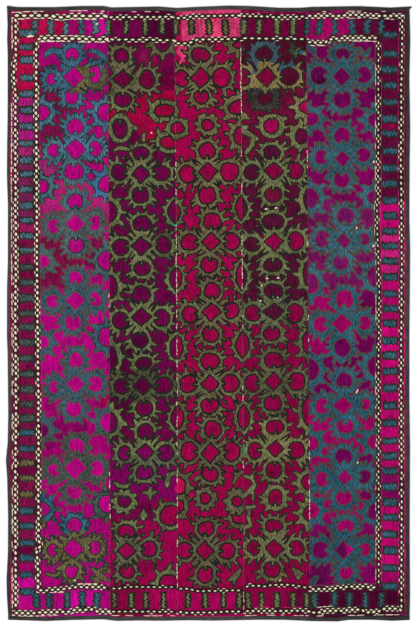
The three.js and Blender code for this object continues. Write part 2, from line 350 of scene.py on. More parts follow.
# Each guard braid: its line, and how it was worked on every strip that it crosses: mm from eye to
# eye, how far its black cords swing, their half width, and the share of stitches outside them.
GUARD_BRAIDS = {
    "head_outer": (
        (
            (-742, 1131), (-603, 1132), (-580, 1125), (-548, 1125), (-525, 1130), (-392, 1130),
            (-385, 1126), (-379, 1125), (-261, 1125), (-139, 1127), (-131, 1124), (-125, 1122),
            (-88, 1123), (-60, 1128), (-14, 1130), (24, 1130), (51, 1132), (118, 1132), (126, 1130),
            (195, 1128), (271, 1125), (347, 1127), (369, 1129), (376, 1130), (499, 1130), (537, 1134),
            (594, 1134), (613, 1130), (742, 1131),
        ),
        {
            0: (28, 8.4, 2.9, 0.8), 1: (23, 7.2, 3.2, 0.5), 2: (23, 7.0, 3.3, 0.4),
            3: (22, 7.0, 3.2, 0.5), 4: (22, 7.0, 2.6, 0.8),
        },
    ),
    "head_inner": (
        (
            (-634, 1046), (-603, 1047), (-565, 1045), (-490, 1043), (-432, 1041), (-386, 1041),
            (-379, 1041), (-261, 1040), (-139, 1039), (-131, 1036), (-125, 1026), (-90, 1026),
            (-70, 1028), (-40, 1041), (119, 1042), (126, 1045), (188, 1045), (203, 1043), (369, 1043),
            (376, 1032), (392, 1029), (442, 1029), (461, 1041), (511, 1047), (645, 1046),
        ),
        {
            0: (26, 8.0, 2.6, 0.8), 1: (26, 6.8, 3.2, 0.4), 2: (24, 7.0, 3.2, 0.35),
            3: (27, 6.6, 3.3, 0.3), 4: (21, 7.0, 2.6, 0.8),
        },
    ),
    "foot_inner": (
        (
            (-648, -1050), (-612, -1051), (-560, -1047), (-507, -1039), (-413, -1038), (-379, -1045),
            (-372, -1045), (-337, -1045), (-330, -1039), (-123, -1039), (-116, -1045), (-70, -1045),
            (-52, -1053), (24, -1053), (130, -1051), (137, -1039), (158, -1034), (195, -1034),
            (214, -1037), (241, -1030), (309, -1030), (366, -1039), (380, -1045), (388, -1046),
            (461, -1045), (499, -1041), (537, -1036), (594, -1036), (621, -1041), (646, -1036),
        ),
        {
            0: (22, 7.0, 3.0, 0.7), 1: (22, 6.0, 3.4, 0.1), 2: (22, 6.2, 3.3, 0.2),
            3: (22, 6.4, 3.3, 0.2), 4: (21, 7.0, 2.8, 0.8),
        },
    ),
    "foot_outer": (
        (
            (-740, -1138), (-679, -1138), (-603, -1134), (-527, -1132), (-508, -1125), (-432, -1125),
            (-424, -1132), (-379, -1132), (-372, -1132), (-123, -1132), (-116, -1132), (-90, -1136),
            (43, -1136), (62, -1131), (130, -1131), (137, -1130), (366, -1129), (380, -1131),
            (388, -1134), (423, -1134), (442, -1129), (518, -1129), (530, -1125), (583, -1125),
            (594, -1134), (644, -1134), (670, -1121), (720, -1121), (738, -1133),
        ),
        {
            0: (22, 7.6, 2.8, 0.8), 1: (22, 6.4, 3.4, 0.4), 2: (22, 7.0, 3.4, 0.3),
            3: (21, 7.0, 3.2, 0.5), 4: (21, 7.4, 2.8, 0.8),
        },
    ),
    "left_outer": (
        (
            (-733, 1124), (-732, 963), (-738, 955), (-740, 887), (-734, 849), (-734, 600), (-732, 300),
            (-734, 0), (-731, -350), (-734, -700), (-733, -1128),
        ),
        {0: (22, 7.4, 2.4, 0.6)},
    ),
    "left_inner": (
        (
            (-634, 1046), (-646, 1043), (-654, 1034), (-655, 1015), (-655, 697), (-652, 241),
            (-646, -329), (-646, -861), (-638, -880), (-655, -906), (-648, -937), (-648, -1042),
        ),
        {0: (22, 7.4, 2.4, 0.6)},
    ),
    "right_inner": (
        (
            (645, 1038), (644, 480), (640, 393), (640, 317), (647, 127), (647, 51), (645, -200),
            (646, -1030),
        ),
        {4: (22, 5.6, 2.9, 0.4)},
    ),
    "right_outer": (
        (
            (735, 1122), (730, 600), (733, 200), (731, -200), (733, -600), (732, -1118),
        ),
        {4: (22, 6.6, 2.9, 0.4)},
    ),
}
# Threads laid singly beside the braids: share of the run that shows, half width, and line.
LAID_THREADS = {
    "cream": (
        (0.8, 1.6, ((-747, 1143), (-650, 1148), (-450, 1150), (-395, 1147))),
        (0.85, 1.9, ((-728, 1119), (-603, 1121), (-575, 1113), (-530, 1118), (-395, 1117))),
        (0.4, 1.1, ((-385, 1143), (-250, 1147), (-132, 1145))),
        (0.5, 1.3, ((380, 1145), (560, 1148), (742, 1147))),
        (0.6, 1.3, ((378, 1114), (500, 1119), (600, 1122), (730, 1116))),
        (0.95, 2.4, ((-640, 1032), (-600, 1035), (-565, 1034), (-522, 1034))),
        (0.7, 1.6, ((-520, 1032), (-432, 1030), (-392, 1031))),
        (0.9, 1.5, ((-560, 1056), (-500, 1054), (-470, 1055))),
        (1.0, 3.0, ((-690, 1051), (-674, 1053), (-662, 1055))),
        (1.0, 2.4, ((-680, 1057), (-662, 1052))), (0.9, 1.6, ((-130, 1018), (-71, 1019))),
        (0.9, 1.8, ((385, 1019), (412, 1017), (442, 1018))),
        (0.9, 1.6, ((545, 1035), (594, 1034), (640, 1033))),
        (0.8, 1.8, ((-747, 1125), (-745, 960), (-750, 940))),
        (0.9, 1.7, ((-748, 800), (-749, 500), (-747, 100))),
        (0.75, 1.6, ((-747, 80), (-745, -500), (-746, -1120))),
        (0.35, 1.0, ((634, 1020), (633, 480), (629, 390), (630, 317), (636, 127), (634, -200), (635, -1020))),
        (0.9, 1.6, ((-603, -1059), (-546, -1058))),
        (0.9, 1.8, ((-535, -1028), (-500, -1026), (-413, -1027))),
        (0.6, 1.5, ((-728, -1150), (-600, -1147), (-540, -1143))),
        (0.6, 1.2, ((-370, -1147), (-250, -1147), (-120, -1148))),
        (0.6, 1.2, ((137, -1147), (260, -1145), (380, -1147))),
        (0.6, 1.4, ((390, -1149), (560, -1146), (735, -1143))),
        (0.9, 1.6, ((412, -1117), (440, -1113), (470, -1111))),
    ),
    "rose": (
        (0.9, 1.2, ((-124, 1139), (0, 1145), (118, 1148))),
        (0.7, 1.1, ((128, 1146), (260, 1141), (368, 1145))),
        (0.95, 1.3, ((743, 1120), (742, 600), (744, 200), (743, -300), (745, -700), (744, -1110))),
        (0.9, 1.2, ((723, 1100), (719, 600), (722, 200), (720, -200), (722, -600), (721, -1100))),
        (0.9, 1.2, ((657, 1030), (656, 480), (652, 390), (652, 317), (659, 127), (657, -200), (658, -1020))),
        (0.5, 0.8, ((-641, 1020), (-641, 700), (-639, 241), (-634, -329), (-633, -850))),
        (0.8, 1.2, ((-120, -1150), (0, -1151), (130, -1148))),
        (0.7, 1.1, ((170, -1114), (270, -1116), (372, -1115))),
    ),
}

# ---- The charted motifs ----

# A medallion: the middle and half sizes of its diamond, then each disc round it by its offset from
# that middle and its half sizes. A fifth number is how far the nub reaches into the disc, and a
# sixth how wide the ring is.
MEDALLIONS = {
    "strip_left": (
        (
            -513, 897, 41, 41, (-6, 87, 23, 21), (-84, -6, 17, 20), (82, 10, 19, 30, 18, 22),
            (-6, -74, 23, 25, 16),
        ),
        (
            -506, 623, 41, 40, (0, 86, 28, 28, 14), (-82, -4, 20, 23, 13), (76, 2, 23, 24, 20),
            (-6, -84, 34, 30, 14),
        ),
        (-506, 342, 41, 37, (0, 82, 26, 28), (-82, -11, 21, 25), (73, 2, 20, 27, 14), (2, -82, 27, 27)),
        (
            -506, 49, 40, 38, (2, 86, 24, 25), (-86, -2, 23, 23, 13), (76, 4, 22, 27, 22),
            (-8, -82, 29, 28, 14),
        ),
        (
            -506, -268, 37, 35, (2, 89, 23, 30), (-80, -11, 17, 23), (75, 1, 26, 27, 15),
            (-6, -93, 28, 28, 14),
        ),
        (-506, -587, 44, 46, (5, 84, 28, 27), (-81, -8, 22, 22), (81, -2, 25, 28, 14), (-4, -90, 27, 27)),
        (-513, -893, 43, 40, (4, 87, 25, 27), (-78, -6, 19, 21), (80, 4, 21, 23), (-8, -85, 21, 25)),
    ),
    "strip_mid_left": (
        (-325, 890, 40, 37, (-6, 88, 25, 25, 8), (92, -1, 26, 32, 0), (-2, -77, 29, 25, 16)),
        (-257, 529, 34, 36, (0, 79, 27, 21), (-82, 7, 27, 27), (77, 3, 29, 28), (-2, -79, 28, 27)),
        (-256, 256, 39, 34, (2, 85, 30, 25), (-78, -4, 28, 27), (85, 4, 25, 27, 4), (4, -85, 27, 25)),
        (-255, -13, 39, 35, (0, 84, 32, 30), (-80, -14, 28, 28), (78, -4, 27, 30), (-6, -87, 28, 27)),
        (-249, -275, 37, 35, (2, 84, 28, 23), (-80, -2, 27, 25), (78, 2, 32, 28), (6, -84, 28, 27)),
        (-242, -526, 35, 33, (2, 76, 28, 28), (-78, -4, 21, 25), (78, -4, 28, 28), (0, -78, 30, 23)),
        (-312, -901, 35, 35, (0, 74, 28, 23), (86, 8, 27, 27), (2, -78, 24, 23)),
    ),
    "strip_centre": (
        (-30, 895, 38, 40, (0, 86, 33, 26), (-73, -4, 25, 30), (79, 1, 32, 33, 4), (3, -72, 25, 25, 12)),
        (-2, 538, 38, 38, (-4, 79, 28, 29), (-77, -9, 30, 30), (82, 0, 32, 32, 0), (-4, -89, 30, 32, 7)),
        (8, 272, 38, 36, (5, 78, 29, 29), (-81, -2, 30, 28), (79, 2, 28, 28), (-5, -86, 28, 28)),
        (11, 5, 36, 36, (2, 80, 28, 28), (-81, -8, 28, 28), (75, 5, 26, 27), (-5, -83, 28, 27)),
        (4, -268, 36, 34, (2, 85, 31, 29), (-81, 0, 29, 30), (79, 3, 30, 30), (1, -81, 30, 27)),
        (7, -530, 36, 40, (8, 89, 30, 30), (-81, 6, 30, 33), (80, 4, 28, 32, 15), (-2, -79, 28, 25)),
        (-14, -901, 34, 38, (4, 83, 27, 27), (-78, 1, 28, 28), (84, -1, 27, 30), (2, -90, 25, 28)),
    ),
    "strip_mid_right": (
        (
            220, 899, 38, 38, (-8, 86, 28, 25, 15, 24), (-87, -2, 23, 32), (86, 1, 33, 30),
            (-6, -80, 26, 22, 15, 26),
        ),
        (247, 540, 39, 33, (-5, 71, 29, 23), (-83, -3, 28, 28), (82, 2, 27, 27), (-2, -87, 30, 28)),
        (248, 272, 37, 35, (-2, 77, 36, 27), (-82, -10, 28, 25), (84, 3, 27, 30), (-4, -88, 34, 24)),
        (248, 7, 41, 34, (-2, 77, 32, 25), (-79, -5, 26, 27), (82, -5, 28, 30), (-7, -82, 30, 25)),
        (
            247, -258, 35, 35, (0, 80, 32, 28), (-80, -7, 25, 28), (87, 0, 28, 32, 15),
            (-2, -82, 30, 27, 14),
        ),
        (254, -513, 32, 32, (-2, 80, 30, 25), (-78, -8, 23, 28), (80, -6, 28, 30, 16), (-6, -80, 27, 28)),
        (250, -893, 36, 33, (-1, 87, 30, 21), (-79, 3, 23, 25), (85, 1, 25, 27), (-10, -79, 28, 28)),
    ),
    "strip_right": (
        (
            506, 899, 36, 38, (4, 85, 27, 21), (-86, 4, 32, 34, 16), (83, 8, 25, 30, 16),
            (1, -86, 32, 32, 14),
        ),
        (510, 588, 30, 32, (-4, 88, 29, 30), (-83, 6, 23, 25), (76, 13, 26, 25), (-5, -80, 28, 27)),
        (
            513, 277, 30, 32, (6, 92, 30, 32, 16), (-80, 7, 25, 30), (78, 5, 19, 21),
            (-10, -84, 28, 27, 14),
        ),
        (507, -38, 40, 38, (10, 91, 32, 32), (-80, -4, 27, 28, 20), (84, 2, 22, 25), (0, -91, 30, 32, 0)),
        (
            511, -350, 40, 36, (4, 94, 30, 30), (-80, -1, 24, 27, 20), (84, 5, 19, 21),
            (8, -79, 30, 25, 20),
        ),
        (518, -623, 30, 30, (-6, 80, 30, 28), (-87, -6, 23, 27), (74, 4, 21, 25, 14), (-4, -76, 27, 28)),
        (514, -897, 40, 38, (5, 89, 31, 23), (-88, -2, 31, 30), (80, 0, 19, 25), (8, -84, 23, 25)),
    ),
}
# The medallions whose corner leaves have no slit.
WHOLE_LEAVES = (
    ("strip_left", 897), ("strip_left", -893), ("strip_mid_left", 890), ("strip_mid_right", 899),
)
# Rosettes by themselves, and those cut by an edge of their strip: x, y, half sizes, and the way
# they point in degrees from +X.
ROSETTES = {
    "strip_left": (
        (-637, 762, 34, 30, 0), (-637, 481, 32, 25, 0), (-637, 198, 32, 25, 0), (-637, -108, 32, 28, 0),
        (-637, -443, 32, 28, 0), (-637, -743, 34, 30, 0), (-386, 762, 38, 34, 180),
        (-386, 492, 32, 32, 180), (-386, 200, 34, 38, 180), (-386, -89, 32, 36, 180),
        (-376, -414, 36, 38, 180), (-386, -724, 32, 32, 180), (-388, -1013, 26, 26, 180),
    ),
    "strip_mid_left": (
        (-379, 386, 30, 40, 0), (-379, 101, 32, 42, 0), (-379, -169, 32, 46, 0),
        (-376, -414, 30, 38, 0), (-175, 1028, 28, 30, -90), (-148, 650, 36, 24, 90),
        (-153, -1022, 33, 32, 90),
    ),
    "strip_centre": (
        (116, 1020, 22, 13, 180), (118, 783, 43, 27, 180), (121, 675, 24, 33, 180),
        (-120, -655, 33, 34, 0),
    ),
    "strip_mid_right": (
        (353, 673, 25, 29, 180), (372, 782, 27, 24, 180), (383, 434, 22, 42, 180), (383, 152, 24, 46, 180),
        (383, -108, 24, 46, 180), (381, -371, 24, 56, 180), (377, -642, 24, 29, 180),
        (380, -760, 22, 28, 180),
    ),
    "strip_right": (
        (385, 740, 34, 25, 0), (385, 439, 34, 38, 0), (385, 114, 34, 40, 0), (385, -213, 34, 44, 0),
        (385, -494, 32, 30, 0), (385, -749, 34, 34, 0), (636, 735, 30, 27, 180),
        (636, 441, 32, 29, 180), (636, 141, 34, 40, 180), (636, -200, 34, 40, 180),
        (636, -488, 32, 30, 180), (636, -752, 32, 32, 180),
    ),
}
SCALLOPS = tuple((turn, 4) for turn in range(0, 360, 36))
# Small rosettes worked in one piece: x, y, half sizes of the disc and of the ring, the way its nub
# comes from and how deep it reaches, how broad its teeth are at their base and tip, and the teeth.
PETAL_ROSETTES = {
    "strip_mid_left": (
        (-336, 703, 26, 36, 47, 57, 90, 20, 13, 9, ((0, 14),)),
        (-319, -713, 24, 22, 42, 40, 90, 8, 11, 8, SCALLOPS),
        (-144, -768, 40, 38, 58, 56, 0, 0, 10, 4.5, ((165, 14), (122, 14), (200, 12), (242, 12))),
    ),
    "strip_centre": (
        (-120, -733, 26, 27, 46, 47, 180, 0, 10, 4, ((60, 9), (-48, 12))),
        (117, -775, 27, 25, 44, 42, 0, 0, 9, 3.5, ((193, 18), (224, 18), (279, 16))),
        (108, -714, 22, 19, 42, 43, 0, 0, 10, 8.5, SCALLOPS),
        (-4, 716, 22, 21, 40, 37, 90, 0, 10, 8.5, SCALLOPS),
        (-12, -703, 20, 21, 38, 36, 90, 0, 10, 8.5, SCALLOPS),
    ),
    "strip_mid_right": (
        (240, 713, 28, 31, 50, 49, 90, 11, 10, 4, ((0, 14), (35, 15), (150, 16), (185, 14))),
        (
            253, -700, 25, 33, 47, 52, -90, 15, 10, 4,
            ((30, 12), (0, 15), (-25, 12), (175, 16), (198, 14), (226, 12), (120, 14)),
        ),
    ),
}
# Shapes worked over a seam, so that each strip holds a half. A lens is pointed at both ends.
SEAM_LENSES = (
    (-130, 386, 24, 42), (-124, 131, 22, 44), (-121, -129, 25, 46), (-118, -397, 24, 48),
    (124, 401, 20, 48), (124, 140, 20, 53), (129, -118, 24, 52), (133, -395, 23, 50),
)
SEAM_DISCS = (
    (-168, 770, 38, 24), (-118, 705, 25, 22),
)
# Leaves and sprigs: a line of x, y and half width.
SPRIGS = {
    "strip_left": (
        ((-625, 970, 3), (-614, 988, 10), (-594, 998, 13), (-560, 994, 10)),
        ((-478, 925, 3), (-455, 942, 9), (-425, 955, 10), (-410, 965, 6)),
        ((-455, 1003, 3), (-430, 995, 9), (-400, 978, 11), (-386, 960, 8)),
        ((-618, -988, 6), (-590, -995, 9), (-560, -985, 6)),
        ((-450, -968, 4), (-428, -984, 10), (-405, -1000, 12), (-388, -1012, 8)),
        ((-428, -984, 6), (-405, -972, 9), (-388, -966, 5)),
    ),
    "strip_mid_left": (
        ((-192, 804, 11), (-214, 784, 12), (-216, 758, 12), (-198, 735, 11)),
        ((-214, 784, 9), (-232, 814, 4)), ((-214, 764, 8), (-241, 758, 4)),
        ((-300, 622, 9), (-340, 628, 10), (-362, 618, 4)),
        ((-247, 691, 4), (-247, 676, 10), (-247, 655, 8)),
        ((-247, -742, 5), (-246, -764, 15), (-246, -784, 6)),
        ((-248, -682, 7), (-224, -681, 13), (-198, -678, 7)),
        ((-222, -660, 6), (-224, -681, 13), (-224, -702, 6)),
        ((-122, -604, 8), (-150, -612, 12), (-158, -640, 11), (-161, -664, 4)),
        ((-365, -640, 4), (-340, -655, 9), (-312, -655, 9), (-290, -640, 4)),
    ),
    "strip_centre": (
        ((72, -1012, 4), (95, -1006, 14), (112, -990, 11), (122, -968, 5)),
        ((98, -1008, 11), (92, -1034, 5)),
        ((131, -598, 5), (110, -614, 11), (94, -646, 4)), ((110, -614, 9), (96, -605, 6)),
    ),
    "strip_mid_right": (
        ((122, 750, 18), (138, 747, 12), (155, 741, 4)),
        ((122, 700, 12), (149, 710, 7)), ((122, 700, 12), (150, 684, 12), (180, 662, 8)),
        ((168, 664, 11), (164, 640, 12), (142, 609, 7)),
        ((137, -619, 8), (162, -624, 10), (175, -650, 8), (163, -666, 11), (136, -690, 10)),
        ((162, -624, 8), (177, -597, 4)), ((164, -668, 9), (172, -710, 4)),
        ((138, -737, 8), (172, -733, 9)), ((154, -737, 10), (151, -773, 9), (160, -804, 9)),
        ((160, -804, 9), (137, -816, 9), (132, -850, 3)),
        ((318, 1026, 6), (322, 1000, 15), (330, 975, 8)), ((322, 1002, 12), (344, 1006, 6)),
        ((322, 996, 11), (303, 1000, 6)), ((346, 990, 9), (378, 990, 10)),
        ((126, 1020, 4), (130, 1005, 6), (137, 988, 3)),
        ((320, -970, 6), (338, -985, 13), (340, -1010, 5)),
        ((356, -985, 6), (342, -990, 12), (340, -1010, 5)),
    ),
    "strip_right": (
        ((380, 1016, 9), (396, 1000, 13), (404, 975, 4)),
        ((384, -1032, 7), (400, -1012, 9), (412, -1000, 5)),
        ((578, 1008, 3), (585, 985, 8), (600, 985, 8), (612, 1008, 3)),
    ),
}

# The border's bars: the line that each row stands on, and the places along it.
BARS = {
    "head": (
        1088,
        (
            -660, -599, -542, -483, -428, -382, -314, -240, -177, -122, -65, 2, 64, 133, 192, 260, 321,
            374, 421, 478, 545, 602, 655,
        ),
    ),
    "foot": (
        -1089,
        (
            -654, -603, -538, -479, -424, -358, -293, -238, -171, -78, -14, 57, 117, 150, 201, 260, 319,
            372, 404, 477, 535, 596, 657,
        ),
    ),
    "left": (
        -690,
        (
            1064, 1013, 963, 895, 834, 773, 709, 646, 583, 530, 471, 410, 353, 296, 238, 175, 118, 59,
            0, -51, -110, -171, -228, -289, -344, -399, -452, -513, -568, -625, -686, -750, -808, -870,
            -929, -992, -1056,
        ),
    ),
    "right": (
        689,
        (
            1058, 986, 927, 866, 802, 739, 682, 616, 551, 492, 429, 372, 312, 257, 200, 139, 76, 19,
            -38, -103, -160, -220, -283, -350, -416, -483, -541, -597, -657, -716, -775, -838, -901,
            -967, -1036,
        ),
    ),
}
# The bars at the ends of an outer and a middle strip: half thickness, swing, and pitch if another.
OUTER_BARS = {"head": (10.5, 5, 22), "foot": (11, 5.5)}
MIDDLE_BARS = {"head": (10.5, 4.4), "foot": (9.5, 4.4)}

# ---- Drawing the motifs ----

CELL = 1.25  # mm, the fineness of the drawing
SIDE_MARGIN = 25  # the drawing goes on this far past the sides of its strip
END_MARGIN = 15
HAND_WAVES = (34, 47, 61, 88, 120)  # mm over which a hand strays from a true line
HAND_STRAY = 0.85
BATH_WAVES = (45, 80, 130)  # the same for the joins between two baths of silk
BATH_STRAY = 5
FAR = 20  # cells: past this a place counts as far from every line
RING = 15.5  # width of the ring round a disc
BAND = 15.0  # width of the band round a diamond
# The teeth of a rosette: degrees from the way it points, and how far each stands out of the ring.
SAW_TEETH = ((-76, 24), (-50, 24), (-24, 11), (24, 11), (50, 24), (76, 24))
LEAF_TEETH = (
    (-88, 17), (-62, 20), (-36, 17), (-12, 6), (12, 6), (36, 17), (62, 20), (88, 17),
)
HALF_TEETH = ((-88, 22), (-45, 23), (0, 22), (45, 23), (88, 22))
NUB = 15.0  # how far the nub of the ring reaches into a disc
SPRIG = 999  # the number of every sprig in the drawing
SLIT_LINE = 5  # mm: a line this near to a slit is couched thin
SLIT_BOLD = -1.4
DISC_LINE = 7  # mm: a line this near to a disc or a diamond is couched double
SLIT_START = 40  # from the middle of a medallion
SLIT_END = 94
TWIN_TURN = 0.18  # radians between the middle of a leaf and each of two slits
DISC_EASE = 2.5  # a disc is filled a little larger than it was marked
BRAID_SHADOW_GAP = 5.5  # from the cords of a guard braid to the dark line beside it, a painted shadow of the raised braid


def oval(x, y, wide, tall):
    return (np.hypot(x / wide, y / tall) - 1) * min(wide, tall)


def diamond(x, y, wide, tall):
    return (abs(x) / wide + abs(y) / tall - 1) * wide * tall / math.hypot(wide, tall)


def lens(x, y, wide, tall):
    return (abs(x) / wide + (y / tall) ** 2 - 1) * wide * 0.8


def spike(x, y, base, tip, base_half, tip_half):
    """A tapering stroke from base to tip."""
    run = (tip[0] - base[0], tip[1] - base[1])
    share = ((x - base[0]) * run[0] + (y - base[1]) * run[1]) / (run[0] ** 2 + run[1] ** 2 + 1e-6)
    share = np.clip(share, 0, 1)
    away = np.hypot(x - base[0] - share * run[0], y - base[1] - share * run[1])
    return away - (base_half + (tip_half - base_half) * share)


def strayed(x, y, size, lengths, chance):
    """How far a hand strays from the true line at each place: slow waves, each up to size."""
    shift = np.zeros_like(x)
    for length in lengths:
        turn, start = chance.uniform(0, 2 * math.pi, 2)
        shift += size * np.sin((x * math.cos(turn) + y * math.sin(turn)) * 2 * math.pi / length + start)
    return shift


def inner_line(side):
    """An inner braid's line: places along the border, and how far out it is at each."""
    along = 0 if side in ("head", "foot") else 1
    line = np.array(sorted(GUARD_BRAIDS[side + "_inner"][0], key=lambda point: point[along]), float)
    return line[:, along], line[:, 1 - along]


def border_sides(x, y):
    """The four sides of the border: the places in each, its dyes, and how far along they are. The two
    ends come last, for they take the corners."""
    return (
        (x < np.interp(y, *inner_line("left")), LEFT_BORDER, LEFT_BARS, y),
        (x > np.interp(y, *inner_line("right")), RIGHT_BORDER, RIGHT_BARS, y),
        (y > np.interp(x, *inner_line("head")), HEAD_BORDER, HEAD_BARS, x),
        (y < np.interp(x, *inner_line("foot")), FOOT_BORDER, FOOT_BARS, x),
    )


class Chart:
    """The drawing on one strip: 0 where the ground shows, and a number for each motif over it."""

    def __init__(self, number):
        self.chance = np.random.default_rng(40 + number)
        # The two outer strips were worked by another hand, in broader leaves.
        self.outer = number in (0, len(STRIPS) - 1)
        self.teeth = LEAF_TEETH if self.outer else SAW_TEETH
        self.stout = 8.5
        span = np.linspace(-RUG_LENGTH / 2, RUG_LENGTH / 2, 50)
        low = strip_side(number, span).min() - SIDE_MARGIN
        high = strip_side(number + 1, span).max() + SIDE_MARGIN
        self.across = np.arange(low, high, CELL)
        self.along = np.arange(-RUG_LENGTH / 2 - END_MARGIN, RUG_LENGTH / 2 + END_MARGIN, CELL)
        self.x, self.y = np.meshgrid(self.across, self.along)
        # A hand never draws a line quite true.
        shift_x = strayed(self.x, self.y, HAND_STRAY, HAND_WAVES, self.chance)
        shift_y = strayed(self.x, self.y, HAND_STRAY, HAND_WAVES, self.chance)
        self.x, self.y = self.x + shift_x, self.y + shift_y
        self.kind = np.zeros(self.x.shape, np.int16)
        self.bold = np.zeros(self.x.shape)
        self.braid_shadow_lines = np.zeros(self.x.shape, bool)
        self.motifs = 0

    def around(self, x, y, reach):
        """The part of the drawing within reach of a place, and its coordinates from that place."""
        columns = slice(*np.searchsorted(self.across, (x - reach, x + reach)))
        rows = slice(*np.searchsorted(self.along, (y - reach, y + reach)))
        view = (rows, columns)
        return view, self.x[view] - x, self.y[view] - y

    def work(self, view, cloth, holes=(), slits=()):
        """Works a motif: its silk covers the union of cloth, and the ground shows in the holes and
        the slits. The middle strips' holes have their outline couched double, and slits a thin one."""
        covered = np.minimum.reduce(cloth) < 0
        self.motifs += 1
        kind = self.kind[view]
        kind[covered] = self.motifs
        if holes:
            inside = np.minimum.reduce(holes)
            kind[covered & (np.minimum.reduce([inside, *slits]) < 0)] = 0
            if slits:
                self.bold[view][np.minimum.reduce(slits) < SLIT_LINE] = SLIT_BOLD
            if not self.outer:
                self.bold[view][inside < DISC_LINE] = 1

    def rosette(self, x, y, hole, rim, away, teeth, nub, stout, tip=2.8):
        """A disc in a toothed ring, pointing away: the ring's silk, and the hole of the disc."""
        opened = oval(x, y, *hole)
        cloth = [oval(x, y, *rim)]
        for turn, length in teeth:
            angle = away + math.radians(turn + self.chance.uniform(-6, 6))
            lean = -math.copysign(math.radians(self.chance.uniform(2, 9)), turn)
            length *= self.chance.uniform(0.87, 1.15)
            half = stout * self.chance.uniform(0.87, 1.15)
            # A tooth is a leaf: stout where it leaves the ring, and bent over towards its tip.
            points = []
            for reach, bend in ((-7, 0), (length * 0.5, lean * 0.35), (length, lean)):
                out = (rim[0] + reach, rim[1] + reach)
                points.append((math.cos(angle + bend) * out[0], math.sin(angle + bend) * out[1]))
            middle = max(half * 0.7, tip)
            cloth.append(spike(x, y, points[0], points[1], half, middle))
            cloth.append(spike(x, y, points[1], points[2], middle, tip))
        if nub:
            back = np.array((-math.cos(away), -math.sin(away)))
            edge = 1 / math.hypot(back[0] / hole[0], back[1] / hole[1])
            half = 8.0 if self.outer else 6.5
            bulb = spike(x, y, back * (edge + 5), back * (edge - nub + half), half - 1, half)
            opened = np.maximum(opened, -bulb)
        return cloth, opened

    def medallion(self, x, y, wide, tall, *discs, slit_leaves=True):
        """A diamond with a disc on each point, and a leaf in each corner between the discs."""
        view, dx, dy = self.around(x, y, 185)
        cloth = [diamond(dx, dy, wide, tall) - BAND]
        holes = [diamond(dx, dy, wide, tall)]
        slits = []
        for off_x, off_y, disc_wide, disc_tall, *more in discs:
            away = math.atan2(off_y, off_x)
            disc = (disc_wide + DISC_EASE, disc_tall + DISC_EASE)
            nub = more[0] if more else NUB
            ring = more[1] if len(more) > 1 else RING
            rim = (disc[0] + ring, disc[1] + ring)
            teeth = [(turn, length + RING - ring) for turn, length in self.teeth]
            made = self.rosette(dx - off_x, dy - off_y, disc, rim, away, teeth, nub, self.stout)
            cloth += made[0]
            holes.append(made[1])
            # Two long straight leaves run from the diamond's point past both sides of the ring.
            point = (math.cos(away) * wide, math.sin(away) * tall)
            for side in (-1, 1):
                turned = away + side * math.radians(self.chance.uniform(96, 108))
                tip_x = off_x + math.cos(turned) * (rim[0] + 13)
                tip_y = off_y + math.sin(turned) * (rim[1] + 13)
                cloth.append(spike(dx, dy, point, (tip_x, tip_y), 8.5, 4))
        for corner in (45, 135, 225, 315):
            angle = math.radians(corner + self.chance.uniform(-6, 6))
            way = np.array((math.cos(angle), math.sin(angle)))
            cloth.append(spike(dx, dy, 26 * way, self.chance.uniform(60, 70) * way, 16, 8))
            # A slit opens outwards down the middle of the leaf, and some leaves have two.
            if not slit_leaves:
                continue
            twin = not self.outer and self.chance.uniform() < 0.5
            open_half = 1.4 if self.outer else 6.0
            for turn in (-TWIN_TURN, TWIN_TURN) if twin else (0,):
                slit = np.array((math.cos(angle + turn), math.sin(angle + turn)))
                slits.append(spike(dx, dy, SLIT_START * slit, SLIT_END * slit, 0.5, open_half))
        self.work(view, cloth, holes, slits)

    def lone_rosette(self, x, y, hole, rim, away, teeth, nub, stout, tip):
        """A rosette that is a motif by itself, pointing away in degrees from +X."""
        view, dx, dy = self.around(x, y, 120)
        away = math.radians(away)
        cloth, opened = self.rosette(dx, dy, hole, rim, away, teeth, nub, stout, tip)
        self.work(view, cloth, [opened])

    def lens_rosette(self, x, y, wide, tall):
        view, dx, dy = self.around(x, y, 115)
        cloth = [lens(dx, dy, wide + 15, tall + 20)]
        for side in (-1, 1):
            for place in (-0.62, -0.2, 0.22, 0.62):
                place += self.chance.uniform(-0.05, 0.05)
                base = np.array((side * (wide + 11) * (1 - place**2), place * (tall + 20)))
                tip = base + (side * self.chance.uniform(14, 18), 8 * place + self.chance.uniform(4, 9))
                cloth.append(spike(dx, dy, base, tip, 9, 3))
        self.work(view, cloth, [lens(dx, dy, wide, tall)])

    def sprig(self, points):
        """A stroke of silk. Strokes that touch are worked as one, with no outline between them."""
        view, dx, dy = self.around(*points[0][:2], 120)
        start = points[0]
        moved = [(px - start[0], py - start[1], half) for px, py, half in points]
        strokes = [
            spike(dx, dy, a[:2], b[:2], a[2], b[2]) for a, b in zip(moved, moved[1:])
        ]
        self.kind[view][np.minimum.reduce(strokes) < 0] = SPRIG

    def bar(self, x, y, upright, half_length, half_thick, swing, pitch=14):
        """A bar of the border, both its long sides worked in the same zigzag."""
        view, dx, dy = self.around(x, y, 60)
        if upright:
            dx, dy = dy, dx
        pitch *= self.chance.uniform(0.9, 1.1)
        zigzag = np.sin(2 * math.pi * (dx + self.chance.uniform(-3, 3)) / pitch)
        body = abs(dy - swing * zigzag) - half_thick * self.chance.uniform(0.92, 1.08)
        self.work(view, [np.maximum(body, abs(dx) - half_length - self.chance.uniform(-2, 2))])

    def draw_braid_shadow(self, points, reach):
        """A dark line on both sides of a guard braid, drawn like an outline: painted shadow of the raised
        braid on the cloth.
        """
        x, y = np.meshgrid(self.across, self.along)
        away = np.minimum.reduce([spike(x, y, a, b, 0, 0) for a, b in zip(points, points[1:])])
        self.braid_shadow_lines |= abs(away - reach) < 0.75 * CELL

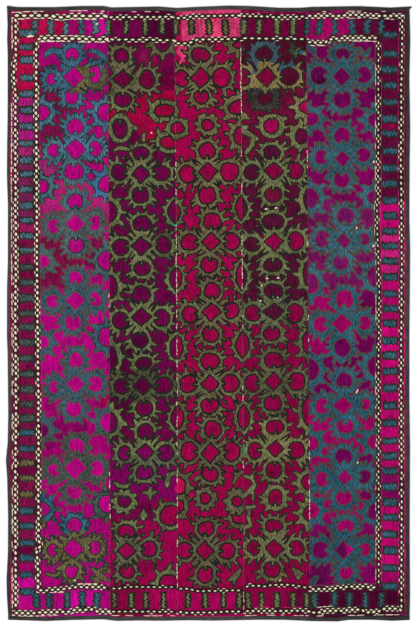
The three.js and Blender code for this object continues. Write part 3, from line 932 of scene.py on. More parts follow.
    def leave_border(self):
        """Clears everything outside the inner braids, where the border is worked."""
        for inside, *_ in border_sides(*np.meshgrid(self.across, self.along)):
            self.kind[inside] = 0

    def measure(self):
        """Distance in mm from each place to the nearest drawn line: above 0 on a motif."""
        kind = self.kind
        line = self.braid_shadow_lines.copy()
        turns_x = kind[:, 1:] != kind[:, :-1]
        turns_y = kind[1:] != kind[:-1]
        line[:, 1:] |= turns_x
        line[:, :-1] |= turns_x
        line[1:] |= turns_y
        line[:-1] |= turns_y
        steps = np.where(line, 0.0, FAR)
        for row in range(1, len(steps)):
            np.minimum(steps[row], steps[row - 1] + 1, out=steps[row])
        for row in range(len(steps) - 2, -1, -1):
            np.minimum(steps[row], steps[row + 1] + 1, out=steps[row])
        squared = steps**2
        nearest = squared.copy()
        for step in range(1, FAR):
            np.minimum(nearest[:, step:], squared[:, :-step] + step**2, out=nearest[:, step:])
            np.minimum(nearest[:, :-step], squared[:, step:] + step**2, out=nearest[:, :-step])
        distance = (np.sqrt(nearest) + 0.5) * CELL
        signed = np.where(kind > 0, distance, -distance)
        # Where two motifs meet there is a line but no ground, so only the ground's edge is smoothed.
        for axis in (0, 1):
            signed = (np.roll(signed, 1, axis) + 2 * signed + np.roll(signed, -1, axis)) / 4
        self.line = signed

    def read(self, field, x, y):
        """A field of the drawing at any places on the strip."""
        column = np.clip((x - self.across[0]) / CELL, 0, len(self.across) - 1.001)
        row = np.clip((y - self.along[0]) / CELL, 0, len(self.along) - 1.001)
        i, j = column.astype(int), row.astype(int)
        u, v = column - i, row - j
        low = field[j, i] * (1 - u) + field[j, i + 1] * u
        high = field[j + 1, i] * (1 - u) + field[j + 1, i + 1] * u
        return low * (1 - v) + high * v


def drawn_strip(number):
    """The finished drawing of one strip."""
    name = STRIPS[number]
    chart = Chart(number)
    low, high = chart.across[0] - 30, chart.across[-1] + 30
    for x, y, wide, tall, away in ROSETTES.get(name, ()):
        rim = (wide + 20, tall + 20)
        chart.lone_rosette(x, y, (wide, tall), rim, away, HALF_TEETH, 0, 11, 2.8)
    for row in SEAM_LENSES:
        if low < row[0] < high:
            chart.lens_rosette(*row)
    for x, y, wide, tall in SEAM_DISCS:
        if low < x < high:
            rim = (wide + 18, tall + 18)
            chart.lone_rosette(x, y, (wide, tall), rim, 45, SCALLOPS[::2], 0, 10, 6)
    for row in PETAL_ROSETTES.get(name, ()):
        x, y, wide, tall, rim_wide, rim_tall, nub_from, nub, stout, tip, teeth = row
        turned = [(turn + 180 - nub_from, length) for turn, length in teeth]
        rim = (rim_wide, rim_tall)
        chart.lone_rosette(x, y, (wide, tall), rim, nub_from - 180, turned, nub, stout, tip)
    for row in MEDALLIONS[name]:
        chart.medallion(*row, slit_leaves=(name, row[1]) not in WHOLE_LEAVES)
    for points in SPRIGS.get(name, ()):
        chart.sprig(points)
    for x, y, reach in DARK_OUTLINES.get(name, ()):
        view, dx, dy = chart.around(x, y, reach)
        chart.bold[view][np.hypot(dx, dy) < reach] = 1
    chart.leave_border()
    # Painted shadow: on the outer strips, a dark line is drawn beside each guard braid.
    for points, worked in GUARD_BRAIDS.values():
        if number in worked and chart.outer:
            chart.draw_braid_shadow(points, worked[number][1] + BRAID_SHADOW_GAP)
    for side, shape in (OUTER_BARS if chart.outer else MIDDLE_BARS).items():
        line, places = BARS[side]
        for x in places:
            if low < x < high:
                chart.bar(x, line, True, 29, *shape)
    if chart.outer:
        side, half_length = ("right", 28.5) if number else ("left", 28)
        line, places = BARS[side]
        for y in places:
            chart.bar(line, y, False, half_length, 12.5, 4.2)
    chart.measure()
    return chart


# ---- Colouring ----

SPAN = 1600  # mm: every strand of ground silk is numbered over this width
STRAND = 4

def dyed(bands, place):
    """The dye at each place, where every band runs from its own start up or down to the next."""
    starts = np.array([start for start, _ in bands], float)
    shades = np.array([linear(DYES[dye]) for _, dye in bands])
    if len(starts) == 1:
        return np.broadcast_to(shades[0], place.shape + (3,)).copy()
    if starts[0] > starts[1]:
        starts, place = -starts, -place
    return shades[np.clip(np.searchsorted(starts, place, "right") - 1, 0, len(starts) - 1)]


def fill_blocks(blocks, shade, x, y):
    for dye, places in blocks.items():
        for left, right, low, high in places:
            shade[(x > left) & (x < right) & (y > low) & (y < high)] = linear(DYES[dye])


def colours_of(number, x, y, chance):
    """Colours of the ground, the motifs and the outline at places on a strip, bath by bath, with
    ragged joins between the baths."""
    name = STRIPS[number]
    thread = (np.clip(x + SPAN / 2, 0, SPAN - 1) / STRAND).astype(int)
    ragged = y + chance.uniform(-STRAND, STRAND, SPAN // STRAND)[thread]
    block_x = x + strayed(x, y, BATH_STRAY, BATH_WAVES, chance)
    block_y = ragged + strayed(x, y, BATH_STRAY, BATH_WAVES, chance)
    ground = dyed(GROUND[name], block_y)
    motif = dyed(MOTIF[name], block_y)
    outline = dyed(OUTLINE[name], y)
    fill_blocks(GROUND_BLOCKS, ground, block_x, block_y)
    fill_blocks(MOTIF_BLOCKS, motif, block_x, block_y)
    discs = []
    if name in DISC_SILK:
        places = [row[:2] for row in ROSETTES[name]]
        for left, up, _, _, *offsets in MEDALLIONS[name]:
            places += [(left + offset[0], up + offset[1]) for offset in ((0, 0), *offsets)]
        discs.append((DISC_SILK[name], places))
    for dye, places in [*discs, *OTHER_DISCS[name].items()]:
        for disc_x, disc_y in places:
            ground[np.hypot(x - disc_x, y - disc_y) < DISC_REACH] = linear(DYES[dye])
    for dark_x, dark_y, reach in DARK_OUTLINES.get(name, ()):
        outline[np.hypot(x - dark_x, y - dark_y) < reach] = linear(DYES["blue_black"])
    for inside, border, bars, place in border_sides(x, y):
        ground[inside] = dyed(border, (place + ragged - y)[inside])
        motif[inside] = dyed(bars, place[inside])
        outline[inside] = linear(DYES["soot" if number in (0, len(STRIPS) - 1) else "green_black"])
    fill_blocks(BORDER_BLOCKS, ground, block_x, block_y)
    # Darker patches: the ground and the motifs are darkened in soft ovals.
    for patch_x, patch_y, wide, tall in DARK_PATCHES.get(name, ()):
        kept_share = 1 - DARK_PATCH_DEPTH * np.exp(-(((x - patch_x) / wide) ** 2) - ((y - patch_y) / tall) ** 2)
        ground, motif = ground * kept_share[..., None], motif * kept_share[..., None]
    return ground, motif, outline


# ---- Making meshes ----


def mesh_of(name, vertices, faces):
    """A smooth mesh from vertices in mm."""
    mesh = bpy.data.meshes.new(name)
    mesh.from_pydata(np.asarray(vertices, float) * MM, [], faces)
    mesh.polygons.foreach_set("use_smooth", np.ones(len(mesh.polygons), bool))
    mesh.update()
    return mesh


def piece(name, mesh, material):
    """A piece of the rug, which moves with its one body."""
    made = bpy.data.objects.new(name, mesh)
    bpy.context.scene.collection.objects.link(made)
    mesh.materials.append(material)
    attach(made, "root")
    return made


def swept(path, section, across=None):
    """A closed body with a section of (across, up) corners at each point of a path."""
    path = np.asarray(path, float)
    if across is None:
        run = np.gradient(path[:, :2], axis=0)
        run /= np.linalg.norm(run, axis=1)[:, None] + 1e-9
        across = np.column_stack([-run[:, 1], run[:, 0], np.zeros(len(path))])
    across = np.broadcast_to(across, path.shape)
    section = np.broadcast_to(section, (len(path),) + np.shape(section)[-2:])
    corners = section.shape[1]
    vertices = path[:, None] + across[:, None] * section[..., :1] + section[..., 1:] * (0, 0, 1)
    ring = np.arange(corners)
    turned = np.roll(ring, -1)
    start = (np.arange(len(path) - 1) * corners)[:, None]
    sides = np.stack([start + ring, start + turned, start + turned + corners, start + ring + corners], -1)
    faces = sides.reshape(-1, 4).tolist()
    faces.append(ring[::-1].tolist())
    faces.append((ring + (len(path) - 1) * corners).tolist())
    return vertices.reshape(-1, 3), faces


def gathered(parts):
    """Several bodies as one list of vertices and one of faces."""
    vertices, faces, count = [], [], 0
    for points, sides in parts:
        vertices.append(points)
        faces += [[corner + count for corner in side] for side in sides]
        count += len(points)
    return np.concatenate(vertices), faces


def sewn(name, parts, material):
    """A piece made of many separate stitches or cords."""
    return piece(name, mesh_of(name, *gathered(parts)), material)


# ---- The cloth strips ----

GRID = 3.2  # mm between the points of a strip's upper side
COARSE = 8  # the underside has one point for this many
MAP_GAP = 6.0  # mm between the parts of a strip on its flat map
PAD_RISE = 0.75  # how far a motif's padding lifts it
CORD_RISE = 0.45  # and an outline's cord
SLACK_RISE = 0.3  # and the slack left in the cloth
SEAM_DIP = 0.9  # how far the cloth is drawn down at a seam
SEAM_DRAW = 5  # over this width


def strip_place(number, share, along):
    """Where a point of a strip lies, from its share across and its place along the straight cloth."""
    left = strip_side(number, along) + (SEAM_GAP / 2 if number else 0)
    right = strip_side(number + 1, along) - (SEAM_GAP / 2 if number + 1 < len(STRIPS) else 0)
    x = left + (right - left) * share
    foot = np.interp(x, *FOOT_EDGE) + RIM_INSET + along + HALF
    head = np.interp(x, *HEAD_EDGE) - RIM_INSET - HALF + along
    y = foot + (head - foot) * smooth((along + HALF) / (2 * HALF))
    return x, y


def rim_press(number, x, y, along):
    """How far the cloth is pressed for the binding: 1 inside it, and 0 clear of it."""
    inward = RIM_INSET + HALF - abs(along)
    if number == 0:
        inward = np.minimum(inward, x - np.interp(y, *LEFT_EDGE))
    if number == len(STRIPS) - 1:
        inward = np.minimum(inward, np.interp(y, *RIGHT_EDGE) - x)
    return 1 - np.clip((inward - RIM_REACH) / RIM_SLOPE, 0, 1)


def cloth_top(number, x, y, share, along):
    """Height of the cloth before its stitches."""
    press = rim_press(number, x, y, along)
    full = CLOTH_THICKNESS + CLOTH_SWELL * np.sin(np.pi * share)
    return press * (TAPE_LEAF + PRESS_GAP) + full + (RIM_THICKNESS - full) * press


def stitch_relief(line, x, y):
    """How far the stitches stand over the ground: padded motifs, a cord along each drawn line."""
    padded = PAD_RISE * smooth((line + 0.5) / 4.5)
    cord = CORD_RISE * np.exp(-((line / 1.9) ** 2))
    slack = SLACK_RISE * np.sin(x / 41 + 1.3 * np.sin(y / 97)) * np.sin(y / 58 + np.sin(x / 83))
    return padded + cord + slack - 0.1


def closed_sheet(rows, columns):
    """A closed sheet over a grid: the grid place of each of its points, its faces, and how many faces
    its upper side and its walls have, and how many points its rim. Its underside is coarse."""
    # The rim, once round against the clock, and the coarse points of the underside.
    rim = np.array(
        [(0, i) for i in range(columns)]
        + [(j, columns) for j in range(rows)]
        + [(rows, i) for i in range(columns, 0, -1)]
        + [(j, 0) for j in range(rows, 0, -1)]
    )
    inner_rows = np.arange(COARSE, rows, COARSE)
    inner_columns = np.arange(COARSE, columns, COARSE)
    inner = np.array([(j, i) for j in inner_rows for i in inner_columns])
    grid = np.stack(np.meshgrid(np.arange(rows + 1), np.arange(columns + 1), indexing="ij"), -1)
    grid_of = np.concatenate([grid.reshape(-1, 2), rim, inner])
    uppers = (rows + 1) * (columns + 1)

    index = np.arange(uppers).reshape(rows + 1, columns + 1)
    upper = np.stack([index[:-1, :-1], index[:-1, 1:], index[1:, 1:], index[1:, :-1]], -1).reshape(-1, 4)
    count = len(rim)
    here = np.arange(count)
    onward = (here + 1) % count
    rim_top = index[rim[:, 0], rim[:, 1]]
    wall = np.column_stack([uppers + here, uppers + onward, rim_top[onward], rim_top])
    # Each step of the rim is joined to the nearest coarse point.
    halfway = (rim[here] + rim[onward]) / 2 / COARSE
    last = (len(inner_rows), len(inner_columns))
    near = np.clip(np.round(halfway), 1, last).astype(int) - 1
    anchor = uppers + count + near[:, 0] * len(inner_columns) + near[:, 1]
    fan = np.column_stack([uppers + onward, uppers + here, anchor])
    turn = anchor != anchor[onward]
    bridge = np.column_stack([uppers + onward, anchor, anchor[onward]])[turn]
    coarse = (uppers + count + np.arange(len(inner))).reshape(last)
    floor = np.stack([coarse[:-1, :-1], coarse[1:, :-1], coarse[1:, 1:], coarse[:-1, 1:]], -1).reshape(-1, 4)
    faces = upper.tolist() + wall.tolist() + fan.tolist() + bridge.tolist() + floor.tolist()
    return grid_of, faces, (len(upper), len(wall), count)


def strip_piece(number):
    """One strip: a closed sheet, fine above and coarse below, coloured and drawn on point by point."""
    name = STRIPS[number]
    chart = drawn_strip(number)
    middle = np.zeros(1)
    width = float((strip_side(number + 1, middle) - strip_side(number, middle))[0])
    columns = COARSE * round(width / (COARSE * GRID))
    rows = COARSE * round(2 * HALF / (COARSE * GRID))
    share, along = np.meshgrid(np.linspace(0, 1, columns + 1), np.linspace(-HALF, HALF, rows + 1))
    x, y = strip_place(number, share, along)

    # Points near a drawn line are set on it, so that the line stays crisp.
    slope_y, slope_x = np.gradient(chart.line, CELL)
    line = chart.read(chart.line, x, y)
    pull = np.where(abs(line) < 1.5, -line, 0)
    pull[[0, -1]] = 0
    pull[:, [0, -1]] = 0
    x = x + pull * chart.read(slope_x, x, y)
    y = y + pull * chart.read(slope_y, x, y)
    line = chart.read(chart.line, x, y) * (1 - 0.28 * chart.read(chart.bold, x, y))
    shades = zip(("ground", "motif", "outline"), colours_of(number, x, y, chart.chance))

    top = cloth_top(number, x, y, share, along)
    press = rim_press(number, x, y, along)
    seam_dip = np.zeros_like(x)
    if number:
        seam_dip += np.clip(1 - share * width / SEAM_DRAW, 0, 1)
    if number + 1 < len(STRIPS):
        seam_dip += np.clip(1 - (1 - share) * width / SEAM_DRAW, 0, 1)
    raised = top + stitch_relief(line, x, y) * (1 - press) - SEAM_DIP * seam_dip**2
    under = press * (TAPE_LEAF + PRESS_GAP)

    grid_of, faces, counts = closed_sheet(rows, columns)
    at = (grid_of[:, 0], grid_of[:, 1])
    uppers = raised.size
    height = np.concatenate([raised.ravel(), under[at][uppers:]])
    vertices = np.column_stack([x[at], y[at], height])
    mesh = mesh_of(name, vertices, faces)

    reverse = np.arange(len(vertices)) >= uppers
    for label, value in (("line_mm", line[at]), ("reverse", reverse)):
        mesh.attributes.new(label, "FLOAT", "POINT").data.foreach_set("value", value.astype(np.float32))
    for label, shade in shades:
        colour = np.column_stack([shade[at], np.ones(len(vertices))]).astype(np.float32)
        mesh.attributes.new(label, "FLOAT_COLOR", "POINT").data.foreach_set("color", colour.ravel())
    lay_out(mesh, width, rows, columns, grid_of, *counts)
    return piece(name + "_silk", mesh, silk_embroidery(name))


def lay_out(mesh, width, rows, columns, grid_of, uppers, walls, count):
    """A flat map of a strip, cut into lengths that lie side by side, for whoever paints it anew."""
    lengths = 3 if width < 300 else 2
    length = 2 * HALF / lengths
    size = max(lengths * (width + MAP_GAP) + width / 4 + MAP_GAP, length + 4 * MAP_GAP)
    corners = np.empty(len(mesh.loops), int)
    mesh.loops.foreach_get("vertex_index", corners)
    totals = np.empty(len(mesh.polygons), int)
    mesh.polygons.foreach_get("loop_total", totals)
    face = np.repeat(np.arange(len(totals)), totals)
    share = grid_of[corners, 1] / columns
    run = grid_of[corners, 0] / rows * 2 * HALF
    part = np.minimum((face // columns) * lengths // rows, lengths - 1)
    u = part * (width + MAP_GAP) + share * width + MAP_GAP / 2
    v = run - part * length + MAP_GAP / 2
    wall = (face >= uppers) & (face < uppers + walls)
    step = face - uppers
    corner_in_face = np.arange(len(corners)) - np.repeat(np.cumsum(totals) - totals, totals)
    u = np.where(wall, (step + np.isin(corner_in_face, (1, 2))) / count * (size - 2 * MAP_GAP), u)
    v = np.where(wall, size - 2 * MAP_GAP + np.where(corner_in_face > 1, MAP_GAP, 0), v)
    low = face >= uppers + walls
    u = np.where(low, lengths * (width + MAP_GAP) + share * width / 4, u)
    v = np.where(low, run / 4 + MAP_GAP / 2, v)
    flat = np.column_stack([u, v]).astype(np.float32) / size
    mesh.uv_layers.new(name="OFBake").data.foreach_set("uv", flat.ravel())


# ---- Materials ----


def node(tree, kind, inputs=(), out=0, **settings):
    """Adds one node with its settings and links, and gives back one of its outputs."""
    made = tree.nodes.new("ShaderNode" + kind)
    for name, value in settings.items():
        setattr(made, name, value)
    for socket, value in dict(inputs).items():
        if isinstance(value, bpy.types.NodeSocket):
            tree.links.new(value, made.inputs[socket])
        else:
            made.inputs[socket].default_value = value
    return made.outputs[out] if made.outputs else made


def new_material(name):
    material = bpy.data.materials.new(name)
    material.use_nodes = True
    material.node_tree.nodes.clear()
    return material, material.node_tree


def surface(tree, **sockets):
    """Ends a material in one shader. A keyword's underscores are the socket's spaces."""
    shader = node(tree, "BsdfPrincipled", {key.replace("_", " "): value for key, value in sockets.items()})
    node(tree, "OutputMaterial", {"Surface": shader})


# For each strip: half the width of its outline in mm, and how far the couching rows follow the drawn
# line rather than the length of the cloth.
STRIP_THREADS = {
    "strip_left": (2.2, 0.3), "strip_mid_left": (2.9, 0.6), "strip_centre": (3.0, 1.0),
    "strip_mid_right": (2.6, 0.3), "strip_right": (2.4, 0.3),
}


ROW_GAP = 7  # mm between the couching rows, as they are drawn
ROW_START = 3.4


def silk_embroidery(strip):
    """Floss silk couched over a cotton cloth. Untwisted floss lies in flat glossy rows, so the colour runs in
    streaks along the thread, partly painted sheen and partly the floss's uneven tone, and the black outline
    is a harder, duller twisted thread."""
    half_width, follow = STRIP_THREADS[strip]
    material, tree = new_material("couched_floss_silk" + strip[5:])
    place = node(tree, "TexCoord", out="Object")
    line, reverse = (
        node(tree, "Attribute", out="Fac", attribute_name=label) for label in ("line_mm", "reverse")
    )
    ground, motif, outline = (
        node(tree, "Attribute", out="Color", attribute_name=label)
        for label in ("ground", "motif", "outline")
    )

    # Ground floss is laid along the cloth, so its streaks are narrow and long: painted sheen along the glossy
    # strands, mixed with the floss's uneven tone and its dye baths. Single strands are 0.4 mm wide and are
    # drawn about 4 mm wide, so that they show.
    stretched = node(tree, "Mapping", {"Vector": place, "Scale": (240, 22, 1)})
    streak = node(tree, "TexNoise", {"Vector": stretched, "Scale": 1, "Detail": 4, "Roughness": 0.65})
    grain = node(tree, "TexNoise", {"Vector": place, "Scale": 230, "Detail": 3, "Roughness": 0.75})
    fine = node(tree, "Mapping", {"Vector": place, "Scale": (260, 70, 1)})
    fibre = node(tree, "TexNoise", {"Vector": fine, "Scale": 1, "Detail": 2, "Roughness": 0.6})
    bath = node(tree, "TexNoise", {"Vector": place, "Scale": 16, "Detail": 3})
    # The ground's brightness, not wear: painted sheen streaks plus the floss's uneven tone and its baths.
    worn = node(tree, "Math", {0: streak, 1: grain}, operation="ADD")
    worn = node(tree, "Math", {0: bath, 1: 0.35, 2: worn}, operation="MULTIPLY_ADD")
    worn = {"Value": worn, "From Min": 0.95, "From Max": 1.40, "To Min": 0.28, "To Max": 1.78}
    ground_shade = node(tree, "MapRange", worn)

    # Couching rows are really about 2 mm apart. They are drawn 7 mm apart, so that they show.
    split = node(tree, "SeparateXYZ", {"Vector": place})
    along_cloth = node(tree, "Math", {0: split, 1: 1000}, operation="MULTIPLY")
    row_place = node(tree, "Mix", {"Factor": follow, 2: along_cloth, 3: line})
    row_turn = node(tree, "Math", {0: row_place, 1: 2 * math.pi / ROW_GAP}, operation="MULTIPLY")
    row_turn = node(tree, "Math", {0: fibre, 1: 3, 2: row_turn}, operation="MULTIPLY_ADD")
    row_turn = node(tree, "Math", {0: row_turn, 1: ROW_START}, operation="SUBTRACT")
    row = node(tree, "Math", {0: row_turn}, operation="SINE")
    floss = node(tree, "Math", {0: fibre, 1: 1.4, 2: grain}, operation="MULTIPLY_ADD")
    floss = node(tree, "Math", {0: bath, 1: 0.5, 2: floss}, operation="MULTIPLY_ADD")
    floss = {"Value": floss, "From Min": 1.2, "From Max": 1.7, "To Min": 0.26, "To Max": 1.86}
    floss = node(tree, "MapRange", floss)
    # Painted highlight and shade: each couching row is lighter on its crest and darker in its hollow, by up
    # to 16 %, times the floss's own uneven tone.
    motif_shade = node(tree, "Math", {0: row, 1: 0.16, 2: 0.98}, operation="MULTIPLY_ADD")
    motif_shade = node(tree, "Math", {0: motif_shade, 1: floss}, operation="MULTIPLY")

    ground = node(tree, "VectorMath", {0: ground, "Scale": ground_shade}, operation="SCALE")
    motif = node(tree, "VectorMath", {0: motif, "Scale": motif_shade}, operation="SCALE")
    # Hand-dyed floss never takes evenly: its hue drifts a little from hank to hank.
    drift = {"Value": streak, "From Min": 0.35, "From Max": 0.65, "To Min": 0.47, "To Max": 0.53}
    depth = {"Value": grain, "From Min": 0.4, "From Max": 0.6, "To Min": 0.7, "To Max": 1.3}
    hank = {"Hue": node(tree, "MapRange", drift), "Saturation": node(tree, "MapRange", depth)}
    motif = node(tree, "HueSaturation", {"Color": motif, **hank})
    drift = {"Value": grain, "From Min": 0.35, "From Max": 0.65, "To Min": 0.484, "To Max": 0.516}
    ground = node(tree, "HueSaturation", {"Color": ground, "Hue": node(tree, "MapRange", drift)})

    on_motif = node(tree, "Math", {0: line, 1: 0}, operation="GREATER_THAN")
    silk = node(tree, "Mix", {0: on_motif, 6: ground, 7: motif}, out=2, data_type="RGBA")
    away = node(tree, "Math", {0: line}, operation="ABSOLUTE")
    away = node(tree, "Math", {0: grain, 1: 4, 2: away}, operation="MULTIPLY_ADD")
    band = {"Value": away, "From Min": half_width + 1.2, "From Max": half_width + 2.4}
    band |= {"To Min": 1, "To Max": 0}
    on_outline = node(tree, "MapRange", band, interpolation_type="SMOOTHSTEP")
    drawn = node(tree, "Mix", {0: on_outline, 6: silk, 7: outline}, out=2, data_type="RGBA")
    # Painted highlight: pale specks where single filaments stand up and catch the light, paler than the dye.
    # They are drawn 4 mm wide too.
    lint_and_glint = node(tree, "TexNoise", {"Vector": place, "Scale": 310, "Detail": 2, "Roughness": 0.8})
    lint_and_glint = node(tree, "MapRange", {"Value": lint_and_glint, "From Min": 0.5, "From Max": 0.8, "To Max": 0.045})
    pale = (*linear("#b59aa0"), 1)
    drawn = node(tree, "Mix", {0: lint_and_glint, 6: drawn, 7: pale}, out=2, data_type="RGBA")
    cotton = (*linear("#8c7f70"), 1)
    colour = node(tree, "Mix", {0: reverse, 6: drawn, 7: cotton}, out=2, data_type="RGBA")

    relief = node(tree, "Math", {0: row, 1: on_motif}, operation="MULTIPLY")
    relief = node(tree, "Math", {0: fibre, 1: 2, 2: relief}, operation="MULTIPLY_ADD")
    normal = node(tree, "Bump", {"Height": relief, "Strength": 0.5, "Distance": 0.0005})
    surface(
        tree, Base_Color=colour, Roughness=0.55, IOR=1.5, Specular_IOR_Level=0.01,
        Sheen_Weight=0.01, Sheen_Roughness=0.4, Normal=normal,
    )
    return material


def spun_thread(name, colour, shade, roughness, twist):
    """Plied thread. Its twist gives short slanted ridges, drawn `twist` mm apart so that they show,
    and the colour only darkens where the light does not reach down between them."""
    material, tree = new_material(name)
    place = node(tree, "TexCoord", out="Object")
    spin = {"Vector": place, "Scale": 314 / twist, "Distortion": 1.5, "Detail": 1}
    ply = node(tree, "TexWave", spin, out="Fac", bands_direction="DIAGONAL")
    blotch = node(tree, "TexNoise", {"Vector": place, "Scale": 90, "Detail": 3})
    mix = node(tree, "Math", {0: ply, 1: 0.5, 2: blotch}, operation="MULTIPLY_ADD")
    mix = node(tree, "MapRange", {"Value": mix, "From Min": 0.4, "From Max": 0.75})
    colours = {0: mix, 6: (*linear(shade), 1), 7: (*linear(colour), 1)}
    colour = node(tree, "Mix", colours, out=2, data_type="RGBA")
    normal = node(tree, "Bump", {"Height": ply, "Strength": 0.3, "Distance": 0.0003})
    surface(tree, Base_Color=colour, Roughness=roughness, IOR=1.5, Specular_IOR_Level=0.1, Normal=normal)
    return material


WEAVE_GAP = 2.4  # mm between the tape's threads, as they are drawn


def woven_tape():
    """Black cotton tape, plain woven. Real threads are 0.4 mm apart and are drawn 2.4 mm apart, which
    gives a matt cloth with a dusty grey bloom where the weave is rubbed."""
    material, tree = new_material("plain_woven_cotton_tape")
    place = node(tree, "TexCoord", out="Object")
    split_x, split_y = (node(tree, "SeparateXYZ", {"Vector": place}, out=axis) for axis in (0, 1))
    weave_turn = 2 * math.pi / (WEAVE_GAP * MM)
    warp = node(tree, "Math", {0: split_x, 1: weave_turn}, operation="MULTIPLY")
    weft = node(tree, "Math", {0: split_y, 1: weave_turn}, operation="MULTIPLY")
    warp = node(tree, "Math", {0: warp}, operation="SINE")
    weft = node(tree, "Math", {0: weft}, operation="SINE")
    weave = node(tree, "Math", {0: warp, 1: weft}, operation="MULTIPLY")
    dust = node(tree, "TexNoise", {"Vector": place, "Scale": 30, "Detail": 6, "Roughness": 0.65})
    lint_and_glint = node(tree, "TexNoise", {"Vector": place, "Scale": 420, "Detail": 2})
    worn = node(tree, "Math", {0: weave, 1: 0.12, 2: dust}, operation="MULTIPLY_ADD")
    worn = node(tree, "Math", {0: lint_and_glint, 1: 0.5, 2: worn}, operation="MULTIPLY_ADD")
    # The bloom is strongest half way along each side and least at the corners.
    towards = node(tree, "Math", {0: split_x, 1: split_y}, operation="MULTIPLY")
    towards = node(tree, "Math", {0: towards}, operation="ABSOLUTE")
    worn = node(tree, "Math", {0: towards, 1: -0.38, 2: worn}, operation="MULTIPLY_ADD")
    worn = node(tree, "Math", {0: split_x, 1: -0.07, 2: worn}, operation="MULTIPLY_ADD")
    bloom = node(tree, "MapRange", {"Value": worn, "From Min": 0.4, "From Max": 1.1})
    colours = {0: bloom, 6: (*linear("#242322"), 1), 7: (*linear("#52504e"), 1)}
    colour = node(tree, "Mix", colours, out=2, data_type="RGBA")
    normal = node(tree, "Bump", {"Height": weave, "Strength": 0.35, "Distance": 0.0003})
    surface(
        tree, Base_Color=colour, Roughness=0.85, IOR=1.5, Specular_IOR_Level=0.2,
        Sheen_Weight=0.1, Sheen_Roughness=0.6, Normal=normal,
    )
    return material


# ---- The braids, stitches and tape ----

CORD_SECTION = np.array(((-1, 0), (-0.7, 0.75), (0, 1), (0.7, 0.75), (1, 0)))[::-1]
SEAM_HEIGHT = 2.7  # of the cloth beside a seam, for the threads that cross it
LAID_HEIGHT = 3.0  # of the cloth under a laid thread or a repair
PADDED_HEIGHT = 3.3  # of the padded cloth
TWO_PLY_RISE = 0.5  # mm that a cord rises where it crosses over the other


def surface_height(number, x, y):
    """Height of a strip's ground at a place, for what is sewn over it."""
    along = np.clip(y, -HALF, HALF)
    left, right = strip_side(number, along), strip_side(number + 1, along)
    share = np.clip((x - left) / (right - left), 0, 1)
    return cloth_top(number, x, y, share, along)


def evenly(points, step):
    """A line through the given points, with a point every step or so, and its length up to each."""
    points = np.array(points, float)
    reach = np.concatenate([[0], np.cumsum(np.hypot(*np.diff(points, axis=0).T))])
    count = max(2, round(reach[-1] / step) + 1)
    run = np.linspace(0, reach[-1], count)
    line = np.column_stack([np.interp(run, reach, points[:, 0]), np.interp(run, reach, points[:, 1])])
    ends = line[[0, -1]].copy()
    if count > 6:
        for _ in range(2):
            line[1:-1] = (line[:-2] + line[1:-1] * 2 + line[2:]) / 4
        line[[0, -1]] = ends
    return line, run


def braid(number, points, pitch, swing, cord, outside, chance):
    """A guard braid on one strip: a cream stitch in each eye between two black cords, which cross at
    every pitch, and cream half stitches outside the crossings."""
    fine, _ = evenly(points, 3)
    low, high = (strip_side(side, fine[:, 1]) for side in (number, number + 1))
    line, run = evenly(fine[(fine[:, 0] > low + 1.5) & (fine[:, 0] < high - 1.5)], pitch / 7)
    way = np.gradient(line, axis=0)
    way /= np.linalg.norm(way, axis=1)[:, None]
    aside = np.column_stack([-way[:, 1], way[:, 0]])
    marks = np.arange(0, run[-1] + 60, 23.0)
    drift = 0.7 * np.interp(run, marks, chance.normal(0, 1, len(marks)))
    line = line + aside * drift[:, None]
    height = surface_height(number, line[:, 0], line[:, 1])
    turn = np.pi * run / pitch
    cords = []
    for side in (-1, 1):
        sway = side * swing * np.sin(turn) * (1 + 0.06 * chance.normal(0, 1, len(run)))
        rise = 0.5 + TWO_PLY_RISE * (1 + side * np.cos(turn))
        path = np.column_stack([line + aside * sway[:, None], height + rise])
        cords.append(swept(path, CORD_SECTION * (cord, 1.5)))
    floss = []
    for eye in range(round(run[-1] / pitch)):
        middle = int(np.argmin(abs(run - (eye + 0.5) * pitch)))
        crossing = int(np.argmin(abs(run - eye * pitch)))
        reach = way[middle] * pitch * 0.42
        full = (swing - 0.45 * cord) * chance.uniform(0.9, 1.1)
        at = line[middle]
        floss.append(stitch(at - reach, at + reach, full, height[middle], 1.1))
        for side in (-1, 1):
            if chance.uniform() < outside:
                at = line[crossing] + side * aside[crossing] * (swing + 0.3 * cord)
                reach = way[crossing] * pitch * chance.uniform(0.3, 0.42)
                half = 1.5 + outside * chance.uniform(0.7, 1.5)
                floss.append(stitch(at - reach, at + reach, half, height[crossing], 0.8))
    return floss, cords


def stitch(start, end, half, height, rise=0.9):
    """One stitch that lies over the cloth and dives in at both ends."""
    share = np.array((0, 0.2, 0.5, 0.8, 1))
    swell = np.array((0.35, 0.9, 1, 0.9, 0.35))
    path = np.array(start)[None] + (np.array(end) - np.array(start))[None] * share[:, None]
    path = np.column_stack([path, height - 0.4 + 0.4 * swell])
    return swept(path, CORD_SECTION * np.stack([half * swell, rise * swell], -1)[:, None])


# Where seam thread shows: seam, from, to, and how much of that run is covered.
SEAM_THREAD = (
    (0, 89, 13, 0.5), (0, -576, -766, 0.4),
    (1, 564, 300, 0.5), (1, 300, -300, 0.6), (1, -300, -1032, 0.45), (1, 640, 564, 0.4),
    (2, 1009, 765, 0.95), (2, 621, 602, 0.9), (2, 496, 450, 0.9), (2, 298, 89, 0.75),
    (2, -6, -63, 0.8), (2, -272, -329, 0.8), (2, -538, -595, 0.7), (2, -1051, -1134, 0.6),
    (3, 621, 545, 0.6), (3, 325, 260, 0.6), (3, -6, -17, 0.9), (3, -95, -107, 0.9),
    (3, -481, -557, 0.75), (3, -595, -785, 0.75),
)
